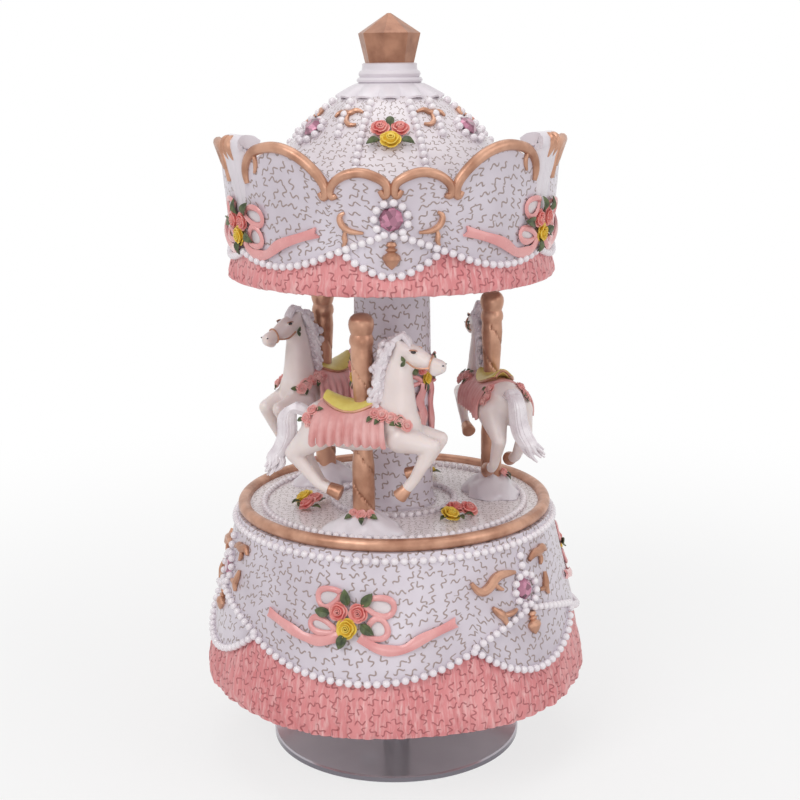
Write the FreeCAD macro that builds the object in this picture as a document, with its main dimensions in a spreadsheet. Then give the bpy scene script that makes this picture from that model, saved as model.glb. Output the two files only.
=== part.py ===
import FreeCAD, Part
import math
import os
import re

import Sketcher
from FreeCAD import Placement, Rotation, Vector

# Driving dimensions in millimetres, degrees and tooth counts. Z = 0 is the table, the front faces -Y.
SIZES = {
    # turntable
    "disc_radius": 27.7,
    "disc_height": 1.5,
    "disc_plate": 0.6,
    "disc_rim": 0.8,
    "disc_lift": 0.2,
    "pad_bore_radius": 9.0,
    "hub_radius": 3.0,
    "hub_flange_radius": 7.0,
    "hub_flange": 1.0,
    "arbor_radius": 1.6,
    "hub_screw_depth": 4.0,
    "washer_radius": 4.2,
    "washer_thickness": 0.5,
    # base
    "hem_height": 16.6,
    "base_rise": 37.4,
    "ruffle_height": 13.4,
    "cavity_radius": 36.3,
    "cavity_top_radius": 31.2,
    "base_wall": 1.9,
    "base_top_wall": 2.7,
    "ruffle_depth": 1.4,
    "ruffle_swell": 2.3,
    "deck_thickness": 3.5,
    "bead_radius": 1.3,
    "bead_inset": 0.95,
    "deck_gap": 0.05,
    "cover_recess": 1.6,
    "cover_thickness": 1.5,
    "cover_ledge": 1.0,
    "boss_radius": 2.8,
    "boss_inset": 2.3,
    "boss_height": 9.0,
    "screw_radius": 1.0,
    "screw_head_radius": 2.0,
    "screw_head": 1.1,
    # centre column and canopy
    "column_rise": 52.0,
    "column_radius": 8.6,
    "column_top_radius": 8.1,
    "spigot_radius": 5.0,
    "spigot_length": 2.2,
    "canopy_floor": 3.5,
    "fringe_drop": 1.6,
    "fringe_height": 4.1,
    "fringe_swell": 1.1,
    "fringe_depth": 4.5,
    "valance_radius": 33.4,
    "valance_flare": 2.2,
    "valance_wall": 2.3,
    "valance_rise": 24.5,
    "ledge_rise": 10.0,
    "ledge_width": 2.2,
    "valley_rise": 17.6,
    "small_lobe_rise": 20.2,
    "big_lobe_rise": 24.5,
    "small_lobe_share": 0.35928,
    "big_lobe_share": 0.43114,
    "trim_width": 1.7,
    "trim_depth": 1.5,
    "horn_reach": 4.0,
    "horn_rise": 25.3,
    "horn_root_rise": 11.0,
    "horn_width": 6.6,
    "dome_top_radius": 10.2,
    "dome_rise": 22.0,
    "dome_wall": 2.0,
    "dome_curve_radius": 110.0,
    "collar_radius": 11.3,
    "collar_neck_radius": 6.7,
    "collar_rise": 2.5,
    "collar_spigot_radius": 3.0,
    "neck_radius": 5.7,
    "neck_rise": 4.1,
    "finial_base_radius": 5.1,
    "finial_radius": 6.5,
    "finial_belly_rise": 5.9,
    "finial_rise": 9.9,
    # horses on their poles
    "horse_turn": -16.0,
    "horse_circle_radius": 22.5,
    "horse_length": 36.4,
    "horse_seat_rise": 17.0,
    "pole_radius": 2.2,
    "pole_waist_radius": 1.65,
    "pole_rise": 45.6,
    "pole_ball_radius": 2.5,
    "mound_length": 17.0,
    "mound_width": 12.0,
    "mound_rise": 4.6,
    # stones and flowers
    "gem_radius": 2.35,
    "gem_rise": 1.3,
    "flower_radius": 4.2,
    "flower_rise": 3.0,
    "flower_circle_radius": 18.8,
    "base_turn": -14.0,
    "pearl_radius": 0.84,
    "pearl_ring_radius": 3.45,
    "pearl_ring_count": 11,
    "posy_radius": 1.75,
    # movement
    "bedplate_thickness": 2.5,
    "bedplate_back": 14.0,
    "bedplate_front": 32.2,
    "bedplate_left": 16.9,
    "bedplate_right": 19.6,
    "movement_screw_circle": 13.0,
    "housing_radius": 11.6,
    "housing_wall": 0.7,
    "housing_rise": 11.3,
    "housing_lid": 0.6,
    "spring_thickness": 0.3,
    "spring_pitch": 1.05,
    "axis_rise": 9.8,
    "crown_teeth": 48,
    "pinion_teeth": 12,
    "crown_module": 0.55,
    "crown_face": 1.8,
    "crown_web": 1.4,
    "wheel_teeth": 60,
    "idler_teeth": 12,
    "wheel_module": 0.3,
    "worm_wheel_teeth": 16,
    "worm_module": 0.35,
    "worm_pitch_radius": 1.3,
    "wheel_face": 1.0,
    "cylinder_radius": 5.5,
    "cylinder_length": 13.0,
    "pin_rise": 0.4,
    "pin_radius": 0.2,
    "notes": 18,
    "spindle_radius": 1.0,
    "pivot_radius": 0.6,
    "post_thickness": 1.0,
    "comb_thickness": 0.8,
    "comb_length": 10.3,
    "comb_heel": 4.6,
    "comb_slit": 0.25,
    "comb_gap": 0.2,
    "fan_radius": 4.0,
    "fan_height": 2.8,
    # clearances
    "snug": 0.02,
    "running": 0.05,
    "gear_backlash": 0.05,
}

doc = FreeCAD.newDocument("carousel_music_box")
sheet = doc.addObject("Spreadsheet::Sheet", "Sizes")
for row, (alias, number) in enumerate(SIZES.items(), start=1):
    sheet.set(f"A{row}", str(number))
    sheet.setAlias(f"A{row}", alias)
doc.recompute()

NODES = []

# Heights above the table, written with the names of the driving dimensions.
DISC_TOP = "disc_height"
HEM = "hem_height"
COVER = f"({HEM} + cover_recess)"
BED = f"({COVER} + cover_thickness)"
BED_TOP = f"({BED} + bedplate_thickness)"
AXIS = f"({BED_TOP} + axis_rise)"
DECK = f"({HEM} + base_rise)"
CANOPY = f"({DECK} + column_rise)"
VALANCE = f"({CANOPY} - fringe_drop + fringe_height)"
LEDGE = f"({VALANCE} + ledge_rise + 1)"
DOME_TOP = f"({LEDGE} + dome_rise)"
COLLAR_TOP = f"({DOME_TOP} + collar_rise)"
NECK_TOP = f"({COLLAR_TOP} + neck_rise)"

# Positions in the movement, along X from the winding arbor and along Y from the cylinder spindle.
CROWN_RADIUS = "(crown_teeth * crown_module / 2)"
PINION_RADIUS = "(pinion_teeth * crown_module / 2)"
CROWN_PITCH = f"({AXIS} + {PINION_RADIUS} + gear_backlash)"
CROWN_OUTER = f"({CROWN_RADIUS} + crown_face / 2)"
POST_X = f"({CROWN_OUTER} + 0.4)"
CYLINDER_X = f"({POST_X} + post_thickness + 0.4)"
WHEEL_X = f"({CYLINDER_X} + cylinder_length + 0.4)"
PLATE_X = f"({WHEEL_X} + wheel_face + 0.5)"
IDLER_Y = "((wheel_teeth + idler_teeth) * wheel_module / 2 + gear_backlash)"
WORM_X = f"({WHEEL_X} - 4.8)"
WORM_Y = f"({IDLER_Y} + worm_wheel_teeth * worm_module / 2 + worm_pitch_radius + gear_backlash)"
ARM_Z = f"({AXIS} + 4.2)"


def formula(text):
    """Expression for the document: bare size names become cells of the sheet."""
    def cell(match):
        word = match.group()
        return f"Sizes.{word}" if word in SIZES else word
    return re.sub(r"[a-z][a-z_]*", cell, str(text))


def amount(text):
    """Number that a size expression stands for."""
    return float(sheet.evalExpression(formula(text)))


def at(x, y, z):
    """Point from three size expressions."""
    return Vector(amount(x), amount(y), amount(z))


def place(item, x=0, y=0, z=0, axis=Vector(0, 0, 1), angle=0):
    """Binds an object's position and its turn about one axis to size expressions."""
    item.Placement = Placement(at(x, y, z), Rotation(axis, amount(angle)))
    for name, text in (("x", x), ("y", y), ("z", z)):
        item.setExpression(f"Placement.Base.{name}", formula(text))
    item.setExpression("Placement.Rotation.Angle", formula(angle))
    return item


def bind(item, **sizes):
    """Binds properties of an object to size expressions."""
    for name, text in sizes.items():
        item.setExpression(name, formula(text))
    return item


def node(item):
    """Marks a finished piece for export."""
    NODES.append(item)
    return item


def made(label, shape):
    """Piece whose shape comes straight from geometry functions."""
    item = doc.addObject("Part::Feature", label)
    item.Shape = shape
    return item


def block(label, lengths, corner):
    """Box bound to size expressions: lengths along X, Y, Z and the lowest corner."""
    item = doc.addObject("Part::Box", label)
    bind(item, Length=lengths[0], Width=lengths[1], Height=lengths[2])
    return place(item, *corner)


def rod(label, radius, height, foot, axis=Vector(0, 0, 1), angle=0):
    """Cylinder bound to size expressions, standing at foot along Z or turned about axis."""
    item = doc.addObject("Part::Cylinder", label)
    bind(item, Radius=radius, Height=height)
    return place(item, *foot, axis=axis, angle=angle)


def rod_along_x(label, radius, length, start):
    """Cylinder bound to size expressions that runs along +X from start."""
    return rod(label, radius, length, start, axis=Vector(0, 1, 0), angle=90)


def joined(label, items):
    """Union of several objects."""
    item = doc.addObject("Part::MultiFuse", label)
    item.Shapes = items
    return item


def cut(label, base, tools):
    """Difference of one object and several others."""
    item = doc.addObject("Part::Cut", label)
    item.Base = base
    item.Tool = tools[0] if len(tools) == 1 else joined(f"{label}_tools", tools)
    return item


def group(label, items):
    """Separate solids that are exported as one node."""
    item = doc.addObject("Part::Compound", label)
    item.Links = items
    return item


def arc_between(start, end, radius):
    """Arc from start to end; a positive radius turns left, a negative one right."""
    chord = end - start
    left = Vector(-chord.y, chord.x, 0).normalize()
    rise = math.sqrt(radius ** 2 - (chord.Length / 2) ** 2)
    centre = (start + end) * 0.5 + left * math.copysign(rise, radius)
    first, last = (start, end) if radius > 0 else (end, start)
    angles = [math.atan2(p.y - centre.y, p.x - centre.x) for p in (first, last)]
    if angles[1] < angles[0]:
        angles[1] += 2 * math.pi
    circle = Part.Circle(centre, Vector(0, 0, 1), abs(radius))
    return Part.ArcOfCircle(circle, *angles)


def outline(sketch, corners):
    """Closed loop through corners (x, y) or (x, y, radius of the arc to the next corner)."""
    points = [Vector(amount(c[0]), amount(c[1]), 0) for c in corners]
    count = len(points)
    first = sketch.GeometryCount
    ends = []
    for i, corner in enumerate(corners):
        target = points[(i + 1) % count]
        radius = amount(corner[2]) if len(corner) == 3 else 0
        if radius:
            sketch.addGeometry(arc_between(points[i], target, radius))
        else:
            sketch.addGeometry(Part.LineSegment(points[i], target))
        ends.append((2, 1) if radius < 0 else (1, 2))
    for i in range(count):
        after = (i + 1) % count
        sketch.addConstraint(Sketcher.Constraint(
            "Coincident", first + i, ends[i][1], first + after, ends[after][0]))
    for i, corner in enumerate(corners):
        for kind, text, value in (("DistanceX", corner[0], points[i].x), ("DistanceY", corner[1], points[i].y)):
            if text == 0:
                axis = -2 if kind == "DistanceX" else -1
                sketch.addConstraint(Sketcher.Constraint("PointOnObject", first + i, ends[i][0], axis))
                continue
            index = sketch.addConstraint(Sketcher.Constraint(
                kind, -1, 1, first + i, ends[i][0], value))
            sketch.setExpression(f"Constraints[{index}]", formula(text))
        if len(corner) == 3:
            index = sketch.addConstraint(Sketcher.Constraint("Radius", first + i, abs(amount(corner[2]))))
            sketch.setExpression(f"Constraints[{index}]", formula(f"abs({corner[2]})"))


def sketch_on(body, role, label):
    """Empty sketch on one of a body's own origin planes."""
    sketch = body.newObject("Sketcher::SketchObject", label)
    plane = [item for item in body.Origin.OriginFeatures if item.Role == role][0]
    sketch.AttachmentSupport = [(plane, "")]
    sketch.MapMode = "FlatFace"
    return sketch


def turned(label, corners):
    """Body of revolution about Z through corners (radius, height)."""
    body = doc.addObject("PartDesign::Body", label)
    sketch = sketch_on(body, "XZ_Plane", f"{label}_profile")
    outline(sketch, corners)
    turn = body.newObject("PartDesign::Revolution", f"{label}_turn")
    turn.Profile = sketch
    turn.ReferenceAxis = (sketch, ["V_Axis"])
    turn.Angle = 360
    sketch.Visibility = False
    return body


def polar(body, features, label, count):
    """Repeats features of a body around Z."""
    pattern = body.newObject("PartDesign::PolarPattern", label)
    pattern.Originals = features
    axis = [item for item in body.Origin.OriginFeatures if item.Role == "Z_Axis"][0]
    pattern.Axis = (axis, [""])
    pattern.Angle = 360
    pattern.Occurrences = count
    body.Tip = pattern
    return pattern


def screws(label, spots, shank_radius, head_radius, shank, head):
    """Group of pan-head screws that point up: spots hold the seat of each head."""
    items = []
    for i, (x, y, z) in enumerate(spots, start=1):
        top = rod(f"{label}_shank_{i}", shank_radius, shank, (x, y, z))
        pan = rod(f"{label}_head_{i}", head_radius, head, (x, y, f"{z} - {head}"))
        items.append(joined(f"{label}_{i}", [top, pan]))
    return group(label, items)


def around(radius, azimuth):
    """X and Y expressions of a spot at an azimuth from the front toward +X, in degrees."""
    return f"({radius}) * sin(({azimuth}) * 1deg)", f"-({radius}) * cos(({azimuth}) * 1deg)"


# Turntable: soft pad, pressed disc with a turned-down rim, hub, screw, arbor, washer.
node(turned("foot_pad", [
    ("pad_bore_radius", 0),
    ("disc_radius - disc_rim - 0.3", 0),
    ("disc_radius - disc_rim - 0.3", "disc_height - disc_plate"),
    ("pad_bore_radius", "disc_height - disc_plate"),
]))
node(turned("turntable_disc", [
    ("arbor_radius + snug", "disc_height - disc_plate"),
    ("disc_radius - disc_rim", "disc_height - disc_plate"),
    ("disc_radius - disc_rim", "disc_lift"),
    ("disc_radius", "disc_lift"),
    ("disc_radius", "disc_height - 0.3"),
    ("disc_radius - 0.3", "disc_height"),
    ("arbor_radius + snug", "disc_height"),
]))
HUB_TOP = f"({BED} - washer_thickness)"
node(turned("disc_hub", [
    ("arbor_radius + snug", DISC_TOP),
    ("hub_flange_radius", DISC_TOP),
    ("hub_flange_radius", f"{DISC_TOP} + hub_flange"),
    ("hub_radius", f"{DISC_TOP} + hub_flange"),
    ("hub_radius", HUB_TOP),
    ("arbor_radius + snug", HUB_TOP),
]))
node(turned("hub_screw", [
    (0, "disc_height - disc_plate - 0.6"),
    ("arbor_radius * 2", "disc_height - disc_plate - 0.6"),
    ("arbor_radius * 2", "disc_height - disc_plate"),
    ("arbor_radius", "disc_height - disc_plate"),
    ("arbor_radius", f"{DISC_TOP} + hub_screw_depth"),
    (0, f"{DISC_TOP} + hub_screw_depth"),
]))
node(turned("thrust_washer", [
    ("arbor_radius + snug", HUB_TOP),
    ("washer_radius", HUB_TOP),
    ("washer_radius", BED),
    ("arbor_radius + snug", BED),
]))
ARBOR_TOP = f"({CROWN_PITCH} + crown_web + 2.6)"
node(turned("winding_arbor", [
    (0, f"{DISC_TOP} + hub_screw_depth + 0.4"),
    ("arbor_radius", f"{DISC_TOP} + hub_screw_depth + 0.4"),
    ("arbor_radius", f"{ARBOR_TOP} - 0.3"),
    ("arbor_radius - 0.3", ARBOR_TOP),
    (0, ARBOR_TOP),
]))

# Base: resin shell with deck, gathered skirt, rim bead and bottom cover.
RUFFLE_SEAT = "(cavity_radius + base_wall)"
DRAPE_LOW = "(cavity_radius + base_wall + ruffle_depth)"
DRAPE_TOP = "(cavity_top_radius + base_top_wall)"
RUFFLE = f"({DRAPE_LOW} + ruffle_swell)"
BEAD_CIRCLE = f"({DRAPE_TOP} - bead_inset)"
DECK_EDGE = f"({BEAD_CIRCLE} - bead_radius - deck_gap)"
BOSS_CIRCLE = "(cavity_radius - boss_inset)"
shell = turned("shell_body", [
    ("spigot_radius + snug", f"{DECK} - deck_thickness"),
    ("cavity_top_radius", f"{DECK} - deck_thickness"),
    ("cavity_radius", f"{HEM} + ruffle_height"),
    ("cavity_radius", BED),
    ("cavity_radius + cover_ledge", BED),
    ("cavity_radius + cover_ledge", f"{HEM} + 0.6"),
    (RUFFLE_SEAT, f"{HEM} + 0.6"),
    (RUFFLE_SEAT, f"{HEM} + ruffle_height"),
    (DRAPE_LOW, f"{HEM} + ruffle_height"),
    (DRAPE_TOP, f"{DECK} - 0.5"),
    (DECK_EDGE, f"{DECK} - 0.5"),
    (DECK_EDGE, DECK),
    ("spigot_radius + snug", DECK),
])
BOSS_AZIMUTHS = (-90, 30, 150)
bosses = []
boss_bores = []
for i, azimuth in enumerate(BOSS_AZIMUTHS, start=1):
    spot = around(BOSS_CIRCLE, azimuth)
    bosses.append(rod(f"boss_{i}", "boss_radius", "boss_height", (*spot, BED)))
    boss_bores.append(rod(f"boss_bore_{i}", "screw_radius + snug", "boss_height - 2", (*spot, BED)))


def on_wall(low, high, azimuth, height, proud):
    """Point on a cone between two (radius, height) rims, at an azimuth from the front."""
    slope = (high[0] - low[0]) / (high[1] - low[1])
    radius = low[0] + slope * (height - low[1]) + proud
    angle = math.radians(azimuth)
    return Vector(radius * math.sin(angle), -radius * math.cos(angle), height)


def string(points, radius):
    """Round cord through points, with a ball at each of them."""
    shapes = [Part.makeSphere(radius * 1.03, point) for point in points]
    for start, end in zip(points, points[1:]):
        if (end - start).Length > 1e-6:
            shapes.append(Part.makeCylinder(radius, (end - start).Length, start, end - start))
    return shapes[0].multiFuse(shapes[1:])


def drape_line(azimuth):
    """Height of the pearl line along the drape, kept above the skirt."""
    away = abs((azimuth - amount("base_turn") + 60.0) % 120.0 - 60.0)
    bow = 29.3 + 5.4 * (away / 36.0) ** 2
    stone_side = 27.9 + 6.8 * ((60.0 - away) / 24.0) ** 2
    level = (bow if away < 36.0 else stone_side) - 30.0
    return amount(f"{HEM} + ruffle_height") + max(level, amount("pearl_radius") * 1.25)


drape_low = (amount(DRAPE_LOW), amount(f"{HEM} + ruffle_height"))
drape_high = (amount(DRAPE_TOP), amount(f"{DECK} - 0.5"))
rim_height = amount(f"{DECK} - 2.1")
rim_row = Part.makeTorus(-on_wall(drape_low, drape_high, 0, rim_height, 0.3).y, amount("pearl_radius"),
                         Vector(0, 0, rim_height))
swag_points = [on_wall(drape_low, drape_high, amount("base_turn") + 7.5 * i,
                       drape_line(amount("base_turn") + 7.5 * i), 0.3) for i in range(49)]
pearl_lines = [made("rim_pearls", rim_row), made("drape_pearls", string(swag_points, amount("pearl_radius")))]
node(cut("base_shell", joined("base_body", [shell, *bosses, *pearl_lines]), boss_bores))
node(turned("skirt_ruffle", [
    (f"{RUFFLE_SEAT} + snug", HEM),
    (f"{RUFFLE} - 1.2", HEM),
    (RUFFLE, f"{HEM} + 1.9"),
    (f"{DRAPE_LOW} - 0.2", f"{HEM} + ruffle_height"),
    (f"{RUFFLE_SEAT} + snug", f"{HEM} + ruffle_height"),
]))
node(turned("rim_bead", [
    (f"{BEAD_CIRCLE} - bead_radius * 0.5", f"{DECK} - 0.5"),
    (f"{BEAD_CIRCLE} + bead_radius * 0.5", f"{DECK} - 0.5", "bead_radius"),
    (f"{BEAD_CIRCLE} + bead_radius * 0.5", f"{DECK} - 0.5 + bead_radius * sqrt(3)", "bead_radius"),
    (f"{BEAD_CIRCLE} - bead_radius * 0.5", f"{DECK} - 0.5 + bead_radius * sqrt(3)", "bead_radius"),
]))
cover_disc = turned("cover_disc", [
    ("washer_radius + 0.5", COVER),
    ("cavity_radius + cover_ledge - 0.1", COVER),
    ("cavity_radius + cover_ledge - 0.1", BED),
    ("washer_radius + 0.5", BED),
])
cover_spots = [around(BOSS_CIRCLE, azimuth) for azimuth in BOSS_AZIMUTHS]
movement_spots = [around("movement_screw_circle", azimuth) for azimuth in (90, 210, 330)]
cover_bores = [rod(f"cover_bore_{i}", "screw_radius + snug", "cover_thickness + 2", (*spot, f"{COVER} - 1"))
               for i, spot in enumerate(cover_spots + movement_spots, start=1)]
node(cut("bottom_cover", cover_disc, cover_bores))
node(screws("cover_screws", [(*spot, COVER) for spot in cover_spots],
            "screw_radius", "screw_head_radius", "cover_thickness + boss_height - 3", "screw_head"))

# Column and canopy.
VALANCE_TOP = "(valance_radius + valance_flare)"
HORN = f"({VALANCE_TOP} + horn_reach)"
FRINGE = "(valance_radius + fringe_swell)"
FRINGE_SEAT = "(valance_radius - fringe_depth)"
node(turned("centre_column", [
    (0, f"{DECK} - spigot_length"),
    ("spigot_radius", f"{DECK} - spigot_length"),
    ("spigot_radius", DECK),
    ("column_radius", DECK),
    ("column_top_radius", CANOPY),
    ("spigot_radius", CANOPY),
    ("spigot_radius", f"{CANOPY} + spigot_length"),
    (0, f"{CANOPY} + spigot_length"),
]))
node(turned("canopy_fringe", [
    (f"{FRINGE_SEAT} + snug", f"{VALANCE} - fringe_height"),
    (f"{FRINGE} - 0.8", f"{VALANCE} - fringe_height"),
    (FRINGE, f"{VALANCE} - fringe_height + 0.8"),
    ("valance_radius + 0.4", VALANCE),
    (f"{FRINGE_SEAT} + snug", VALANCE),
]))
valance = turned("valance_wall_body", [
    ("spigot_radius + snug", CANOPY),
    (FRINGE_SEAT, CANOPY),
    (FRINGE_SEAT, VALANCE),
    ("valance_radius", VALANCE),
    (VALANCE_TOP, f"{VALANCE} + valance_rise"),
    (f"{VALANCE_TOP} - valance_wall", f"{VALANCE} + valance_rise"),
    ("valance_radius - valance_wall + 1", LEDGE),
    ("valance_radius - valance_wall + 1 - ledge_width", LEDGE),
    ("valance_radius - valance_wall + 1 - ledge_width", f"{CANOPY} + canopy_floor"),
    ("spigot_radius + snug", f"{CANOPY} + canopy_floor"),
])
SMALL_LOBE = "(valance_radius * small_lobe_share)"
BIG_LOBE = "(valance_radius * big_lobe_share)"
LOBE_END = f"({SMALL_LOBE} + {BIG_LOBE})"
VALLEY = f"({VALANCE} + valley_rise)"
SMALL_PEAK = f"({VALANCE} + small_lobe_rise)"
BIG_PEAK = f"({VALANCE} + big_lobe_rise)"
HALF_LOBES = [
    (f"{SMALL_LOBE} * 0.17", f"{SMALL_PEAK} - 1"),
    (f"{SMALL_LOBE} * 0.46", SMALL_PEAK),
    (f"{SMALL_LOBE} * 0.75", f"{SMALL_PEAK} - 0.9"),
    (SMALL_LOBE, VALLEY),
    (f"{SMALL_LOBE} + {BIG_LOBE} * 0.382", f"{BIG_PEAK} - 1.8"),
    (f"{SMALL_LOBE} + {BIG_LOBE} * 0.611", BIG_PEAK),
    (f"{SMALL_LOBE} + {BIG_LOBE} * 0.792", f"{BIG_PEAK} - 0.8"),
    (f"{SMALL_LOBE} + {BIG_LOBE} * 0.9375", f"{VALLEY} + 3.2"),
    (LOBE_END, VALLEY),
]
LOBES = [(f"-{x}" if x.count("+") == 0 else f"-({x})", z) for x, z in reversed(HALF_LOBES)] + [(0, VALLEY)] + HALF_LOBES
lobe_sketch = sketch_on(valance, "XZ_Plane", "valance_lobes")
outline(lobe_sketch, LOBES + [(LOBE_END, f"{VALANCE} + valance_rise + 4"),
                              (f"-{LOBE_END}", f"{VALANCE} + valance_rise + 4")])
lobe_cut = valance.newObject("PartDesign::Pocket", "lobe_cut")
lobe_cut.Profile = lobe_sketch
lobe_cut.Reversed = True
bind(lobe_cut, Length=f"{HORN} + 5")
lobe_sketch.Visibility = False
polar(valance, [lobe_cut], "lobe_cuts", 3)


def prism(points, direction):
    """Solid swept from a flat polygon along a straight line."""
    return Part.Face(Part.makePolygon([*points, points[0]])).extrude(direction)


def rectangle(inner, outer, width, height):
    """Closed wire across the front direction at one height, between two radii."""
    half = width / 2
    corners = [(-half, -outer), (half, -outer), (half, -inner), (-half, -inner)]
    points = [Vector(x, y, height) for x, y in corners]
    return Part.makePolygon([*points, points[0]])


def turned_copies(shape, azimuths):
    """Copies of a shape turned about Z."""
    copies = []
    for azimuth in azimuths:
        copy = shape.copy()
        copy.rotate(Vector(0, 0, 0), Vector(0, 0, 1), azimuth)
        copies.append(copy)
    return copies


root = rectangle(amount("valance_radius - 0.6"), amount("valance_radius + 1"),
                 amount("horn_width * 0.6"), amount(f"{VALANCE} + horn_root_rise"))
tip = rectangle(amount(f"{VALANCE_TOP} - valance_wall"), amount(HORN),
                amount("horn_width"), amount(f"{VALANCE} + horn_rise"))
horns = [made(f"horn_{i}", shape) for i, shape in
         enumerate(turned_copies(Part.makeLoft([root, tip], True, True), (60, 180, 300)), start=1)]
node(joined("canopy_valance", [valance, *horns]))

low = [Vector(amount(x), 0, amount(z)) for x, z in LOBES]
high = [point + Vector(0, 0, amount("trim_width")) for point in reversed(low)]
band = prism(low + high, Vector(0, -amount(HORN), 0))
wall_low = Vector(amount("valance_radius"), 0, amount(VALANCE))
wall_high = Vector(amount(VALANCE_TOP), 0, amount(f"{VALANCE} + valance_rise")) 
beyond = wall_high + (wall_high - wall_low) * 0.2
inward = Vector(-amount("trim_depth"), 0, 0)
outward = Vector(0.5, 0, 0)
ring = Part.Face(Part.makePolygon([wall_low + inward, wall_low + outward, beyond + outward,
                                   beyond + inward, wall_low + inward]))
ring = ring.revolve(Vector(0, 0, 0), Vector(0, 0, 1), 360)
node(made("valance_trim", Part.makeCompound(turned_copies(band.common(ring), (0, 120, 240)))))

DOME_FOOT = "(valance_radius - valance_wall + 0.7)"
dome_body = turned("dome_body", [
    (f"{DOME_FOOT} - ledge_width + 0.6", LEDGE),
    (DOME_FOOT, LEDGE),
    (DOME_FOOT, f"{LEDGE} + 1", "dome_curve_radius"),
    ("dome_top_radius", DOME_TOP),
    ("collar_spigot_radius + snug", DOME_TOP),
    ("collar_spigot_radius + snug", f"{DOME_TOP} - dome_wall"),
    ("dome_top_radius - dome_wall", f"{DOME_TOP} - dome_wall"),
])
dome_low = Vector(amount(DOME_FOOT), 0, amount(f"{LEDGE} + 1"))
dome_high = Vector(amount("dome_top_radius"), 0, amount(DOME_TOP))
chord = dome_low - dome_high
bulge = amount("dome_curve_radius") - math.sqrt(amount("dome_curve_radius") ** 2 - chord.Length ** 2 / 4)
dome_normal = Vector(-chord.z, 0, chord.x).normalize()


def on_dome(azimuth, share, proud, across=0.0):
    """Point on the dome at a share of the way down from its top, millimetres proud and to one side."""
    flat = dome_high + chord * share + dome_normal * (bulge * (1 - (2 * share - 1) ** 2) + proud)
    point = Vector(across, -flat.x, flat.z)
    return Rotation(Vector(0, 0, 1), azimuth).multVec(point)


dome_relief = []
for azimuth in (0, 120, 240):
    for across, share in ((-0.97, 0.27), (0.97, 0.27), (0.0, 0.38)):
        dome_relief.append(Part.makeSphere(amount("posy_radius"), on_dome(azimuth, share, 0.0,
                                                                          across * amount("posy_radius"))))
    for side in (-1, 1):
        line = [on_dome(azimuth + side * (18.6 - 3.0 * t), 0.08 + 0.5 * t, 0.3) for t in (0.0, 0.35, 0.7, 1.0)]
        dome_relief.append(string(line, amount("pearl_radius")))
node(joined("canopy_dome", [dome_body, *[made(f"dome_relief_{i}", shape)
                                         for i, shape in enumerate(dome_relief, start=1)]]))
collar = turned("petal_collar", [
    (0, f"{DOME_TOP} - dome_wall"),
    ("collar_spigot_radius", f"{DOME_TOP} - dome_wall"),
    ("collar_spigot_radius", DOME_TOP),
    ("collar_radius", DOME_TOP),
    ("collar_radius", f"{DOME_TOP} + 0.5"),
    ("collar_neck_radius", COLLAR_TOP),
    ("collar_neck_radius", f"{COLLAR_TOP} + neck_rise * 0.3"),
    ("neck_radius", f"{COLLAR_TOP} + neck_rise * 0.5"),
    ("neck_radius", f"{NECK_TOP} - 0.8"),
    ("finial_base_radius", NECK_TOP),
    (0, NECK_TOP),
])
notch_sketch = sketch_on(collar, "XY_Plane", "petal_notch")
outline(notch_sketch, [("collar_radius - 1.3", 0), ("collar_radius + 0.5", "-1.5"), ("collar_radius + 0.5", "1.5")])
notch = collar.newObject("PartDesign::Pocket", "petal_cut")
notch.Profile = notch_sketch
notch.Reversed = True
bind(notch, Length=f"{COLLAR_TOP}")
notch_sketch.Visibility = False
polar(collar, [notch], "petal_cuts", 12)
node(collar)


def octagon(radius, height):
    """Closed eight-sided wire with an edge turned 9 degrees left of the front."""
    angles = [math.radians(-90 - 9 + 45 * i) for i in range(9)]
    return Part.makePolygon([Vector(radius * math.cos(a), radius * math.sin(a), height) for a in angles])


finial_steps = [("finial_base_radius", NECK_TOP), ("finial_radius", f"{NECK_TOP} + finial_belly_rise"),
                ("0.4", f"{NECK_TOP} + finial_rise")]
finial_wires = [octagon(amount(radius), amount(height)) for radius, height in finial_steps]
node(made("finial", Part.makeLoft(finial_wires, True, True)))

# Horses on poles: one modelled shape in three places.
HORSE_AZIMUTHS = [f"horse_turn + {turn}" for turn in (0, 120, 240)]
HORSE_SCALE = "(horse_length / 36.4)"
SEAT = "horse_seat_rise"


def oval(centre, along, half_depth, half_width):
    """Closed elliptical wire across a path in the horse's middle plane."""
    across = Vector(0, 1, 0)
    deep = along.cross(across).normalize()
    angles = [math.radians(45 * i) for i in range(8)]
    curve = Part.BSplineCurve()
    curve.interpolate([centre + deep * half_depth * math.cos(a) + across * half_width * math.sin(a) for a in angles],
                      PeriodicFlag=True)
    return Part.Wire(curve.toShape())


def limb(stations, side=0.0):
    """Smooth solid through stations (forward, up, half depth, half width) at a distance to one side."""
    centres = [Vector(s[0], side, s[1]) for s in stations]
    wires = []
    for i, station in enumerate(stations):
        before = centres[max(i - 1, 0)]
        after = centres[min(i + 1, len(centres) - 1)]
        wires.append(oval(centres[i], after - before, station[2], station[-1]))
    solid = Part.makeLoft(wires, True, False)
    if solid.Volume < 0:
        solid.reverse()
    return solid


def chain(stations, side=0.0):
    """Tapered bones between stations (forward, up, radius), with a ball at each station."""
    shapes = []
    centres = [Vector(s[0], side, s[1]) for s in stations]
    for centre, station in zip(centres, stations):
        shapes.append(Part.makeSphere(station[2] * 1.04, centre))
    for i in range(len(stations) - 1):
        bone = centres[i + 1] - centres[i]
        shapes.append(Part.makeCone(stations[i][2], stations[i + 1][2], bone.Length, centres[i], bone))
    return shapes[0].multiFuse(shapes[1:])


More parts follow.
